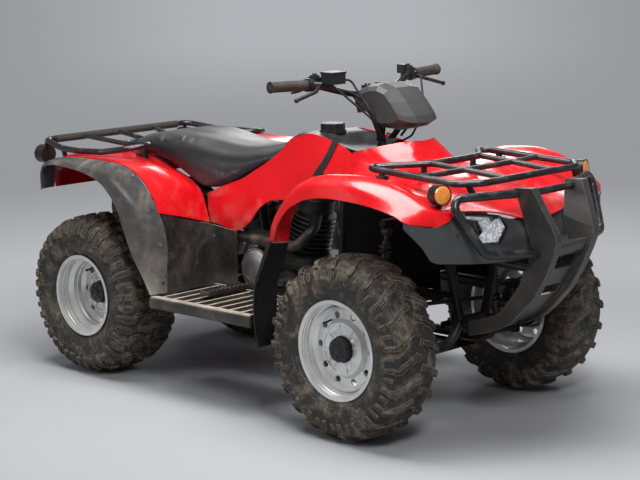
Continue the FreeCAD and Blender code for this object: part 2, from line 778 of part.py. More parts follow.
def build_swingarm():
    pivot = tube([rear(-262, 106.8, 330), rear(-262, -106.8, 330)], 40)
    brace = tube([rear(-470, 92, 312), rear(-470, -92, 312)], 34)
    arm = tube([rear(-262, 78, 330), rear(-420, 86, 315), rear(-640, 120, RZ)], 46, 60)
    inner = size("axle_radius") + size("axle_clearance")
    reach = size("rear_track") / 2 + size("rear_disc_out") - 46
    housing = Part.makeCylinder(36, 2 * reach, Vector(RX, -reach, RZ), Vector(0, 1, 0))
    gear = Part.makeCylinder(92, 86, Vector(RX, -20, RZ), Vector(0, 1, 0))
    solid = fused([pivot, brace, arm, mirrored(arm), housing, gear])
    bore = Part.makeCylinder(inner, 900, Vector(RX, -450, RZ), Vector(0, 1, 0))
    feature("swingarm", solid.cut(bore))


def damper(low, high, coil, wire, rings):
    """A coil-over damper between two eyes; its coils are rings round the tube inside."""
    way = high - low
    length = way.Length
    way.normalize()
    side = Vector(0, 1, 0) if abs(way.x) > abs(way.y) else Vector(1, 0, 0)
    shapes = [Part.makeCylinder(coil - 2 * wire + 0.5, length * 0.84, low + way * (length * 0.08), way)]
    shapes.append(Part.makeCylinder(coil, 8, low + way * (length * 0.16), way))
    shapes.append(Part.makeCylinder(coil, 8, low + way * (length * 0.86), way))
    for eye in (low, high):
        shapes.append(Part.makeCylinder(14, 26, eye - side * 13, side))
        shapes.append(Part.makeCylinder(9, length * 0.14, eye, way * (1 if eye is low else -1)))
    for i in range(rings):
        at = low + way * (length * (0.22 + 0.61 * i / (rings - 1)))
        shapes.append(Part.makeTorus(coil - wire, wire, at, way))
    return shapes


def build_shocks():
    gap = size("seat_gap")
    low = front(637, 286, 236 + 12 + 14 + gap)
    high = front(614, 236, 656 - 12 - 14 - gap)
    feature("front_shocks", pair(fused(damper(low, high, 25, 5, 8))))
    low = rear(-470, 0, 312 + 17 + 14 + gap)
    high = rear(-500, 0, 670 - 13 - 14 - gap)
    feature("rear_shock", fused(damper(low, high, 36, 6.5, 7)))


def build_front_arms():
    centre = kingpin()
    up = kingpin_way()
    low = centre - up * 76
    high = centre + up * 76
    lower_line, upper_line = arm_pivots()
    carrier = [front(660, 286, 236), front(602, 286, 236)]
    lower = [tube([lower_line[1] - Vector(14, 0, 0), low], 24), tube([lower_line[0] + Vector(14, 0, 0), low], 24),
             Part.makeCylinder(19, 30, low - up * 15, up), tube(list(lower_line), 28), tube(carrier, 24)]
    upper = [tube([upper_line[1] - Vector(14, 0, 0), high], 20), tube([upper_line[0] + Vector(14, 0, 0), high], 20),
             Part.makeCylinder(17, 28, high - up * 12, up), tube(list(upper_line), 26)]
    feature("front_arms", pair(Part.makeCompound([fused(lower), fused(upper)])))


# Bodywork.

def hood_rows():
    """The cover between the front fenders, with its raised middle."""
    half = [
        [front(566, 0, 893), front(545, 70, 894), front(463, 145, 874), front(390, 160, 848),
         front(425, 195, 786), front(430, 290, 790), front(444, 390, 790)],
        [front(585, 0, 868), front(578, 74, 868), front(530, 142, 846), front(482, 170, 822),
         front(490, 198, 796), front(512, 290, 804), front(522, 392, 817)],
        [front(615, 0, 834), front(612, 78, 833), front(592, 136, 820), front(575, 168, 808),
         front(580, 198, 799), front(595, 290, 808), front(600, 394, 822)],
        [front(680, 0, 806), front(678, 82, 804), front(675, 130, 799), front(672, 165, 796),
         front(675, 198, 796), front(690, 290, 806), front(700, 394, 826)],
        [front(780, 0, 788), front(780, 88, 780), front(780, 130, 772), front(780, 165, 770),
         front(782, 200, 774), front(785, 290, 790), front(790, 387, 814)],
        [front(868, 0, 765), front(868, 88, 757), front(868, 130, 749), front(868, 165, 748),
         front(868, 200, 752), front(868, 285, 769), front(862, 377, 789)],
        [front(958, 0, 737), front(956, 80, 731), front(953, 120, 727), front(950, 160, 729),
         front(947, 200, 736), front(938, 280, 746), front(925, 364, 756)],
        [front(1062, 0, 702), front(1054, 60, 701), front(1044, 105, 706), front(1042, 150, 719),
         front(1036, 192, 731), front(1008, 256, 741), front(976, 318, 745)],
    ]
    return whole_rows(half)


def front_fender_rows():
    """The bands over the front wheels, from the shoulder to the lip."""
    return [
        [front(322, 391, 585), front(312, 440, 590), front(322, 478, 597), front(362, 500, 606)],
        [front(340, 391, 656), front(332, 440, 660), front(344, 480, 660), front(384, 500, 657)],
        [front(385, 391, 738), front(378, 440, 738), front(392, 481, 728), front(425, 500, 708)],
        [front(444, 391, 790), front(437, 440, 792), front(446, 481, 776), front(470, 500, 737)],
        [front(522, 393, 817), front(517, 442, 823), front(520, 483, 803), front(530, 500, 759)],
        [front(600, 395, 822), front(600, 442, 834), front(601, 483, 809), front(605, 500, 767)],
        [front(700, 395, 826), front(700, 437, 837), front(702, 481, 809), front(705, 500, 766)],
        [front(790, 388, 814), front(791, 429, 822), front(795, 476, 793), front(800, 500, 758)],
        [front(862, 378, 789), front(866, 416, 795), front(872, 463, 768), front(880, 496, 742)],
        [front(925, 365, 756), front(930, 400, 759), front(928, 441, 740), front(920, 482, 721)],
        [front(977, 319, 745), front(976, 335, 733), front(976, 362, 716), front(962, 402, 704)],
    ]


def build_front_panels():
    feature("hood", panel(hood_rows(), WALL, side=-1))
    feature("front_fenders", pair(panel(front_fender_rows(), WALL, side=1)))


def cover_rows():
    """Rows over the front cover from side to side, each from top to bottom."""
    half = [
        [(1040, 0, 692), (1052, 0, 640), (1042, 0, 572)],
        [(1034, 100, 696), (1056, 100, 642), (1042, 100, 572)],
        [(1034, 180, 716), (1044, 180, 650), (1028, 180, 574)],
        [(1010, 262, 732), (1016, 262, 655), (1004, 262, 578)],
        [(970, 330, 724), (984, 345, 655), (972, 345, 586)],
        [(966, 410, 704), (962, 418, 660), (958, 412, 600)],
        [(944, 448, 710), (944, 448, 684), (946, 444, 645)],
        [(912, 490, 722), (912, 490, 714), (913, 489, 704)],
    ]
    left = [[front(x, y, z) for x, y, z in row] for row in half]
    return [[flip(p) for p in row] for row in reversed(left[1:])] + left


LAMP_OUTLINE = [(326, 745), (198, 724), (173, 686), (193, 639), (277, 641), (308, 706)]


def rounded_prism(outline, radius, x_from, x_to):
    """A prism along X over an outline in y and z, its long edges rounded."""
    points = [front(x_from, y, z) for y, z in outline]
    solid = Part.Face(Part.makePolygon(points + points[:1])).extrude(Vector(x_to - x_from, 0, 0))
    edges = [e for e in solid.Edges if abs(e.Vertexes[0].X - e.Vertexes[-1].X) > (x_to - x_from) / 2]
    return solid.makeFillet(radius, edges)


def grown(outline, by):
    """The outline moved outwards from its own middle."""
    cy = sum(y for y, z in outline) / len(outline)
    cz = sum(z for y, z in outline) / len(outline)
    moved = []
    for y, z in outline:
        reach = math.hypot(y - cy, z - cz)
        moved.append((cy + (y - cy) * (reach + by) / reach, cz + (z - cz) * (reach + by) / reach))
    return moved


def lamp_wedge():
    """The room of the left lamp in plan: a front that sweeps back outwards, 62 mm deep."""
    points = []
    for y, back in ((160, 0), (350, 0), (350, 62), (160, 62)):
        points.append(front(size("lamp_x") - size("lamp_slope") * (y - 180) - back, y, 600))
    return Part.Face(Part.makePolygon(points + points[:1])).extrude(Vector(0, 0, 200))


def build_front_cover():
    """The dark lower cover with the lamp openings, and the lamps that fill them."""
    cover = panel(cover_rows(), WALL, side=-1)
    hole = rounded_prism(grown(LAMP_OUTLINE, 0.4), 12, 880, 1120)
    bodywork = [slab(hood_rows(), -1)]
    bodywork += [slab(front_fender_rows(), 1), mirrored(slab(front_fender_rows(), 1))]
    feature("front_cover", largest(cover.cut([hole, mirrored(hole)] + bodywork)))
    lamp = rounded_prism(LAMP_OUTLINE, 12, 880, 1120).common(lamp_wedge()).cut(bodywork[:2])
    feature("headlights", pair(largest(lamp)))


def build_indicators():
    centre = front(935, 351, 793)
    way = Vector(0.93, 0.3, 0.1).normalize()
    body = Part.makeCylinder(32, 34, centre - way * 20, way)
    stalk = tube([centre - way * 10, centre - way * 10 + Vector(-6, -14, -52)], 16)
    lamp = fused([body, stalk]).cut([slab(hood_rows(), -1), slab(front_fender_rows(), 1)])
    feature("front_indicators", pair(largest(lamp)))


def side_cover_rows():
    return [
        [front(-318, 160, 650), front(-303, 172, 600), front(-284, 178, 552)],
        [front(-232, 156, 686), front(-226, 172, 615), front(-218, 180, 546)],
        [front(-150, 148, 716), front(-148, 168, 628), front(-144, 178, 538)],
        [front(-95, 140, 748), front(-92, 160, 662), front(-86, 176, 574)],
        [front(-42, 132, 780), front(-43, 150, 702), front(-45, 174, 622)],
        [front(20, 122, 826), front(16, 144, 742), front(8, 170, 656)],
        [front(66, 118, 868), front(68, 140, 768), front(70, 168, 666)],
        [front(150, 116, 894), front(150, 142, 785), front(150, 172, 674)],
        [front(214, 120, 890), front(214, 150, 800), front(216, 180, 706)],
        [front(284, 128, 878), front(278, 160, 826), front(262, 188, 772)],
        [front(340, 140, 866), front(345, 168, 824), front(352, 192, 780)],
        [front(384, 154, 850), front(402, 175, 818), front(422, 193, 784)],
    ]


def tank_top_rows():
    half = [
        [front(26, 0, 868), front(26, 60, 864), front(26, 108, 846)],
        [front(66, 0, 888), front(66, 60, 886), front(68, 110, 874)],
        [front(130, 0, 893), front(130, 60, 893), front(130, 112, 892)],
        [front(190, 0, 884), front(190, 60, 887), front(190, 114, 890)],
        [front(250, 0, 850), front(250, 60, 856), front(250, 120, 880)],
        [front(330, 0, 842), front(330, 70, 846), front(332, 134, 866)],
    ]
    return whole_rows(half)


def build_side_covers():
    cover = panel(side_cover_rows(), WALL, side=1)
    cover = cover.cut([slab(hood_rows(), -1), slab(tank_top_rows(), -1)])
    feature("side_covers", pair(largest(cover)))


def build_tank_top():
    cover = panel(tank_top_rows(), WALL, side=-1)
    centre = front(151, 0, 886)
    shapes = [cover, Part.makeCylinder(46, 12, centre, Vector(0, 0, 1))]
    shapes.append(Part.makeCylinder(38, 34, centre, Vector(0, 0, 1)))
    for i in range(6):
        turn = math.radians(60 * i)
        lobe = centre + Vector(math.cos(turn), math.sin(turn), 0) * 34
        shapes.append(Part.makeCylinder(9, 32, lobe, Vector(0, 0, 1)))
    feature("tank_top", fused(shapes))


def build_straps():
    """The dark trim that covers the joint beside the tank."""
    rows = [
        [front(277, 129, 884), front(270, 162, 828), front(240, 190, 768)],
        [front(303, 133, 880), front(298, 166, 824), front(278, 192, 768)],
    ]
    strap = panel(rows, 3, side=1).translated(Vector(0, 3.6, 0.6)).cut(slab(side_cover_rows(), 1))
    feature("tank_straps", pair(largest(strap)))


def build_seat():
    """A padded saddle, wide at the back, with a nose that climbs to the tank."""
    stations = [
        (-765, 100, 776, 794), (-715, 142, 770, 813), (-600, 168, 768, 836), (-450, 174, 722, 841),
        (-305, 168, 672, 824), (-180, 148, 708, 814), (-60, 122, 774, 828), (12, 100, 828, 856),
    ]
    wires = []
    for x, half, low, top in stations:
        deep = top - low
        points = [front(x, half, low), front(x, half + 2, low + deep * 0.5), front(x, half * 0.86, top - deep * 0.12),
                  front(x, half * 0.4, top), front(x, 0, top + 2), front(x, -half * 0.4, top),
                  front(x, -half * 0.86, top - deep * 0.12), front(x, -half - 2, low + deep * 0.5),
                  front(x, -half, low)]
        wires.append(Part.Wire([spline(points), Part.LineSegment(points[-1], points[0]).toShape()]))
    pad = Part.makeLoft(wires, True, False)
    feet = [Part.makeCylinder(12, 24, front(-640, y, 762 + size("seat_gap")), Vector(0, 0, 1)) for y in (-100, 100)]
    covers = slab(side_cover_rows(), 1, WALL + 2 * size("seat_gap"))
    pad = fused([pad] + feet).cut([covers, mirrored(covers)])
    feature("seat", largest(pad))


def rear_fender_rows():
    return [
        [rear(-285, 181, 551), rear(-272, 265, 575), rear(-264, 350, 598), rear(-262, 438, 620)],
        [rear(-303, 180, 600), rear(-291, 265, 632), rear(-284, 350, 656), rear(-288, 438, 672)],
        [rear(-322, 180, 648), rear(-322, 262, 690), rear(-322, 350, 714), rear(-336, 438, 723)],
        [rear(-400, 150, 684), rear(-398, 256, 734), rear(-400, 350, 756), rear(-410, 438, 762)],
        [rear(-500, 140, 714), rear(-500, 254, 754), rear(-500, 350, 771), rear(-500, 440, 777)],
        [rear(-620, 134, 750), rear(-620, 254, 768), rear(-620, 350, 776), rear(-620, 440, 776)],
        [rear(-740, 120, 762), rear(-740, 250, 772), rear(-740, 350, 775), rear(-740, 436, 769)],
        [rear(-850, 80, 760), rear(-850, 240, 766), rear(-850, 350, 764), rear(-845, 415, 754)],
        [rear(-925, 60, 738), rear(-925, 240, 742), rear(-918, 340, 740), rear(-890, 396, 728)],
        [rear(-935, 60, 694), rear(-935, 240, 696), rear(-925, 340, 694), rear(-894, 400, 690)],
        [rear(-912, 60, 640), rear(-912, 240, 640), rear(-902, 340, 642), rear(-882, 400, 646)],
    ]


def rear_fender_middle():
    half = [
        [rear(-610, 0, 762), rear(-610, 140, 762)],
        [rear(-660, 0, 762), rear(-660, 140, 762)],
        [rear(-740, 0, 762), rear(-740, 119, 762)],
        [rear(-850, 0, 760), rear(-850, 79, 760)],
        [rear(-925, 0, 738), rear(-925, 59.7, 738)],
        [rear(-935, 0, 694), rear(-935, 59.7, 694)],
        [rear(-912, 0, 640), rear(-912, 59.7, 640)],
    ]
    return whole_rows(half)


def build_rear_fender():
    side = panel(rear_fender_rows(), WALL, side=-1)
    centre = panel(rear_fender_middle(), WALL, side=1).cut([side, mirrored(side)])
    feature("rear_fender", Part.makeCompound([side, mirrored(side), largest(centre)]))


def rear_flare_rows():
    return [
        [rear(-246, 500, 345), rear(-232, 478, 346), rear(-225, 440, 346)],
        [rear(-290, 500, 410), rear(-252, 479, 425), rear(-222, 440, 430)],
        [rear(-335, 500, 469), rear(-280, 481, 490), rear(-218, 440, 505)],
        [rear(-382, 500, 560), rear(-315, 483, 575), rear(-236, 440, 580)],
        [rear(-415, 500, 631), rear(-350, 484, 650), rear(-270, 441, 640)],
        [rear(-455, 500, 675), rear(-400, 485, 700), rear(-325, 441, 708)],
        [rear(-505, 500, 710), rear(-465, 486, 740), rear(-418, 442, 765)],
        [rear(-611, 500, 740), rear(-608, 487, 758), rear(-600, 443, 776)],
        [rear(-700, 500, 748), rear(-705, 487, 763), rear(-706, 442, 774)],
        [rear(-790, 500, 746), rear(-800, 486, 758), rear(-805, 431, 764)],
        [rear(-838, 498, 722), rear(-852, 480, 733), rear(-866, 410, 746)],
        [rear(-842, 498, 650), rear(-862, 478, 650), rear(-884, 408, 648)],
    ]


def build_rear_flares():
    feature("rear_flares", pair(panel(rear_flare_rows(), WALL, side=1)))


def step_ribs(more):
    """The cross ribs on the step board; more makes each one larger."""
    z = size("step_z")
    ribs = []
    for i in range(9):
        x = -218 + i * 54
        outline = [(x - more, z - 18), (x - more, z - 4 + more), (x + 10 + more, z - 4 + more), (x + 10 + more, z - 18)]
        ribs.append(block(outline, 210 - more, size("step_half") - 30 + more))
    return ribs


def build_footwells():
    """Each side's step board, its outer rail and the wall behind the rider's foot."""
    z = size("step_z")
    out = size("step_half")
    rail = block([(-250, z - 46), (-250, z - 2), (248, z + 4), (248, z - 40)], out - 34, out)
    rail = rail.makeFillet(12, [e for e in rail.Edges if e.BoundBox.XLength > 400])
    floor = block([(-250, z - 22), (-250, z - 16), (248, z - 16), (248, z - 22)], 200, out - 20)
    inner = block([(-250, z - 22), (-250, z - 4), (248, z - 4), (248, z - 22)], 192, 202)
    rows = []
    for share in (0.0, 0.33, 0.66, 1.0):
        line = []
        for x, y, high, low in ((-250, 437, 614, z - 12), (-262, 350, 592, z - 12), (-270, 262, 568, z - 12),
                                (-262, 205, 552, z - 12), (-225, 184, 542, z - 12), (-150, 180, 534, z - 14)):
            line.append(front(x, y, high + (low - high) * share))
        rows.append(line)
    wall = panel(rows, WALL, side=-1)
    board = fused([rail, floor, inner] + step_ribs(0))
    wall = wall.cut(board)
    feature("footwells", pair(Part.makeCompound([board, wall])))


def build_foot_controls():
    z = size("step_z")
    floor_top = z - 16 + size("seat_gap")
    near, far, teeth = 206, 396, 10
    points = [front(-104, far, z + 10), front(-104, near, z + 10)]
    for i in range(teeth):
        points.append(front(-104, near + (far - near) * (i + 0.5) / teeth, z + 26))
        points.append(front(-104, near + (far - near) * (i + 1) / teeth, z + 18))
    comb = Part.Face(Part.makePolygon(points + points[:1])).extrude(Vector(5, 0, 0))
    pegs = fused([Part.makeBox(44, far - near, 10, front(-104, near, z + 8)), comb,
                  comb.translated(Vector(39, 0, 0)),
                  Part.makeBox(26, 150, z + 12 - floor_top, front(-95, 214, floor_top))])
    feature("foot_pegs", pair(pegs.cut(step_ribs(size("seat_gap")))))
    brake = tube([front(34, -172, z + 20), front(110, -200, z + 46), front(150, -235, z + 60)], 14, 30)
    pivot = turned(front(34, 0, z + 20), -184, -150 - size("seat_gap"), 9)
    pad = Part.makeBox(42, 60, 10, front(132, -270, z + 60))
    shift = tube([front(28, 170, z + 20), front(120, 190, z + 34), front(160, 235, z + 40)], 12, 30)
    shaft = turned(front(28, 0, z + 20), 120 + size("seat_gap"), 180, 8)
    lever = fused([shift, shaft, tube([front(150, 225, z + 40), front(160, 262, z + 40)], 18)])
    feature("foot_levers", Part.makeCompound([fused([brake, pivot, pad]), lever]))


def build_inner_guards():
    """The plates that close the frame off from the front wheels, and the skid plate under the rails."""
    gap = size("seat_gap")
    face = 112 + (size("frame_tube") - 6) / 2 + gap
    outline = [(330, 440), (745, 440), (735, 600), (700, 664), (520, 688), (330, 690)]
    plate = block(outline, face, face + WALL)
    plate.translate(Vector(FX - 640, 0, 0))
    plate = plate.cut(shock_bar(gap))
    top = 232 - (size("frame_tube") - 4) / 2 - gap
    skid = Part.makeBox(390, 220, WALL, front(300, -110, top - WALL))
    feature("inner_guards", Part.makeCompound([plate, mirrored(plate), skid]))


def build_front_flaps():
    rows = [
        [front(358, 498, 602), front(320, 476, 592), front(315, 440, 584), front(325, 391, 580)],
        [front(318, 500, 520), front(292, 481, 520), front(288, 440, 518), front(300, 388, 515)],
        [front(282, 500, 445), front(263, 482, 445), front(260, 440, 445), front(270, 388, 445)],
        [front(274, 500, 385), front(256, 482, 385), front(254, 440, 385), front(264, 388, 385)],
        [front(276, 498, 300), front(262, 480, 300), front(260, 440, 300), front(266, 388, 300)],
        [front(286, 494, 240), front(274, 478, 240), front(272, 440, 240), front(276, 392, 240)],
    ]
    feature("front_flaps", pair(panel(rows, WALL, side=-1)))


# Racks, bumper and guard.

def build_front_rack():
    z = size("front_rack_z")
    d = size("rack_tube")
    bar = size("rack_bar")
    half = [front(706, 0, z + 14), front(700, 119, z + 14), front(575, 262, z + 8), front(600, 288, z + 7),
            front(952, 294, z - 7), front(1006, 230, z - 6), front(1010, 0, z - 5)]
    ring = tube(half, d, 30)
    long_bar = tube([front(700, 119, z + 14), front(1008, 116, z - 5)], bar)
    cross = tube([front(835, -119, z + 5), front(835, 119, z + 5)], bar)
    link = tube([front(835, 118, z + 5), front(800, 292, z)], bar)
    foot = tube([front(670, 122, z + 13), front(670, 120, 790)], 20)
    pad = Part.makeCylinder(28, 20, front(670, 120, 788), Vector(0, 0, 1))
    outer_foot = tube([front(640, 288, z + 6), front(645, 290, 800)], 20)
    outer_pad = Part.makeCylinder(20, 18, front(645, 290, 799), Vector(0, 0, 1))
    stay = block([(960, z - 8), (984, z - 10), (1018, z - 50), (992, z - 50)], 262, 270)
    stay.translate(Vector(FX - 640, 0, 0))
    side = [ring, long_bar, link, foot, pad, outer_foot, outer_pad, stay]
    whole = fused(side + [mirrored(s) for s in side] + [cross])
    loops = bumper_loop(2 * size("seat_gap"))
    whole = whole.cut([slab(hood_rows(), -1), loops, mirrored(loops)])
    feature("front_rack", largest(whole))


def rear_ring(more):
    """Half of the rear rack's outer tube, from the middle behind to the middle behind the seat."""
    z = size("rear_rack_z")
    half = [rear(-1003, 0, z - 4), rear(-1003, 349, z - 2), rear(-860, 382, z - 18), rear(-740, 396, z - 17),
            rear(-630, 380, z - 13), rear(-548, 335, z), rear(-508, 262, z + 10), rear(-610, 190, z - 2),
            rear(-760, 165, z - 18), rear(-823, 110, z - 24), rear(-823, 0, z - 24)]
    return tube(half, size("rack_tube") + 2 * more, 45)


def build_rear_rack():
    z = size("rear_rack_z")
    bar = size("rack_bar")
    long_bar = tube([rear(-1003, 171, z - 3), rear(-818, 122, z - 24)], bar)
    middle = tube([rear(-1003, 0, z - 4), rear(-823, 0, z - 24)], bar)
    foot = tube([rear(-850, 384, z - 18), rear(-846, 376, 752)], 18)
    inner = tube([rear(-602, 196, z - 2), rear(-602, 215, 756)], 20)
    inner_pad = Part.makeCylinder(24, 24, rear(-602, 215, 754), Vector(0, 0, 1))
    side = [rear_ring(0), long_bar, foot, inner, inner_pad]
    whole = fused(side + [mirrored(s) for s in side] + [middle])
    fender = slab(rear_fender_rows(), -1)
    flare = slab(rear_flare_rows(), 1)
    whole = whole.cut([fender, mirrored(fender), flare, mirrored(flare)])
    feature("rear_rack", largest(whole))


def build_rear_lamps():
    centre = rear(-990, 345, 751)
    body = Part.makeCylinder(34, 40, centre, Vector(-1, 0, 0))
    stalk = tube([centre + Vector(-16, 0, 20), rear(-1003, 340, size("rear_rack_z") - 2)], 14)
    lamp = fused([body, stalk]).cut(rear_ring(size("seat_gap")))
    tail = Part.makeBox(50, 118, 46, rear(-971, -59, 692)).cut(slab(rear_fender_middle(), 1))
    feature("rear_lamps", Part.makeCompound([largest(lamp), mirrored(largest(lamp)), largest(tail)]))


# The bumper.

def bumper_loop(more):
    """One side's tube from the guard's top round the lamp and back to the guard."""
    d = size("bumper_tube") + more
    return tube([front(1066, 112, 784), front(970, 356, 783), front(1062, 289, 616), front(1112, 92, 599)], d, 30)


def build_bumper_tubes():
    loop = bumper_loop(0)
    cross = tube([front(1082, -130, 784), front(1082, 130, 784)], size("bumper_tube") - 4)
    whole = fused([loop, mirrored(loop), cross]).cut(guard_uprights(size("seat_gap")))
    solids = [solid for solid in whole.Solids if solid.Volume > 20000]
    feature("bumper_tubes", Part.makeCompound(solids))


GUARD_STATIONS = [
    ((1116, 805), (1050, 800), 112, 140), ((1150, 735), (1060, 745), 97, 125),
    ((1184, 665), (1070, 690), 82, 110), ((1187, 640), (1085, 645), 78, 106),
    ((1173, 600), (1092, 615), 75, 103), ((1146, 538), (1072, 560), 72, 100),
    ((1099, 462), (1036, 485), 70, 99), ((1050, 408), (1000, 436), 68, 99),
    ((996, 359), (960, 392), 67, 99), ((929, 327), (905, 366), 65, 99), ((837, 299), (836, 342), 62, 98),
]


def guard_uprights(more):
    """The guard's two uprights; more widens them and deepens their backs."""
    wires = []
    for (fx, fz), (bx, bz), near, far in GUARD_STATIONS:
        way = Vector(fx - bx, 0, fz - bz).normalize()
        face = front(fx, 0, fz) + way * more
        back = front(bx, 0, bz) - way * more
        points = [Vector(face.x, near - more, face.z), Vector(face.x, far + more, face.z),
                  Vector(back.x, far + more, back.z), Vector(back.x, near - more, back.z)]
        wires.append(Part.makePolygon(points + points[:1]))
    upright = Part.makeLoft(wires, True, True)
    return [upright, mirrored(upright)]


def guard_shield(more):
    """The plate between the uprights' lower parts; more thickens it on both faces."""
    rows = []
    for (fx, fz), (bx, bz), near, far in GUARD_STATIONS[4:]:
        share = 0.3
        rows.append([front(fx - (fx - bx) * share, y, fz - (fz - bz) * share) for y in (-76, 76)])
    return panel(shifted(rows, more), 12 + 2 * more, side=1)


def build_bumper_guard():
    """Two cast uprights that sweep back under the nose, with a cross plate and a pierced shield."""
    cross = block([(1092, 616), (1100, 600), (1160, 598), (1168, 616), (1166, 632)], -84, 84)
    cross.translate(Vector(FX - 640, 0, 0))
    windows = [Part.makeBox(200, 116, 46, front(1020, -58, 540)), Part.makeBox(200, 96, 34, front(980, -48, 452))]
    feature("bumper_guard", fused(guard_uprights(0) + [cross, guard_shield(0).cut(windows)]))


build_wheels()
build_hubs()
build_knuckles()
build_tie_rods()
build_steering()
build_handlebar()
build_controls()
build_cables()
build_nacelle()
build_frame()
build_engine()
build_exhaust()
build_swingarm()
build_shocks()
build_front_arms()
build_front_panels()
build_front_cover()
build_indicators()
build_side_covers()
build_tank_top()
build_straps()
build_seat()
build_rear_fender()
build_rear_flares()
build_footwells()
build_foot_controls()
build_inner_guards()
build_front_flaps()
build_front_rack()
build_rear_rack()
build_rear_lamps()
build_bumper_tubes()
build_bumper_guard()
doc.recompute()

# Every piece is checked, placed and written.
low_x = min(piece.Shape.BoundBox.XMin for piece in PIECES.values())
high_x = max(piece.Shape.BoundBox.XMax for piece in PIECES.values())
stand_x = -(low_x + high_x) / 2

os.makedirs("parts", exist_ok=True)
bad = [name for name, piece in PIECES.items() if piece.Shape.isNull() or not piece.Shape.isValid()]
if bad:
    raise RuntimeError("bad shapes: " + ", ".join(bad))
for piece in PIECES.values():
    piece.Placement = Placement(Vector(stand_x, 0, 0), Rotation()).multiply(piece.Placement)
doc.recompute()
for item in doc.Objects:
    if "Invalid" in item.State or "Error" in item.State:
        raise RuntimeError("failed: " + item.Label)
for name, piece in PIECES.items():
    piece.Shape.exportStep("parts/%s.step" % name)
print("stand_x", stand_x, "pieces", len(PIECES))
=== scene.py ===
import math

import bmesh
import bpy
from mathutils import Matrix, Vector


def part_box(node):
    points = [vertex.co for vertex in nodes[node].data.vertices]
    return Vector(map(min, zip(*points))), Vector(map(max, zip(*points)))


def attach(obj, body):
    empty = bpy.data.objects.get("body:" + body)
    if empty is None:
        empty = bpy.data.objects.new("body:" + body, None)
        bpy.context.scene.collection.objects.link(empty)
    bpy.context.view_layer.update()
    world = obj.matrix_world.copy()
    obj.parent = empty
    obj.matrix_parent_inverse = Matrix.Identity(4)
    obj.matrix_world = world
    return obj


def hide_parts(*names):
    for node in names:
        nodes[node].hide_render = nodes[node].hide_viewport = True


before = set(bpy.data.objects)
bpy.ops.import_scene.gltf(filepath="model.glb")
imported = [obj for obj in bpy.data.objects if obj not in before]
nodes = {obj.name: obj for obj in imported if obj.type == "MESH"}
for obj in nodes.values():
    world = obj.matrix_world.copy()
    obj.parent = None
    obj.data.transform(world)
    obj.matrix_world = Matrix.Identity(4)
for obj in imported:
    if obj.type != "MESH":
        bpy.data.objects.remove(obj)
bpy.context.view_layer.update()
collection = bpy.context.scene.collection

SIDES = {"left": 1, "right": -1}
AHEAD, LEFT, TOP = Vector((1, 0, 0)), Vector((0, 1, 0)), Vector((0, 0, 1))
REAR_TYRE_WIDTH = 0.25

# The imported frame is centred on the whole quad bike. Places below are counted from the middle of the
# wheelbase, in millimetres, as in the part's source, and at() moves them by SHIFT.
rear_low, rear_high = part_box("rear_tyres")
front_low, front_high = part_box("front_tyre_left")
AXLE_FRONT = (front_low.x + front_high.x) / 2
AXLE_REAR = (rear_low.x + rear_high.x) / 2
SHIFT = (AXLE_FRONT + AXLE_REAR) / 2


def at(x, y, z):
    """A point in metres from its place in millimetres from the middle of the wheelbase."""
    return Vector((x / 1000 + SHIFT, y / 1000, z / 1000))


def wheel_centres(place):
    """The side, its direction and the wheel's middle, for each of the two front or rear wheels."""
    found = []
    for side, way in SIDES.items():
        if place == "front":
            low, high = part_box("front_tyre_" + side)
            centre = (low + high) / 2
        else:
            centre = Vector((AXLE_REAR, way * (rear_high.y - REAR_TYRE_WIDTH / 2), (rear_low.z + rear_high.z) / 2))
        found.append((side, way, centre))
    return found


# ---------------------------------------------------------------- materials

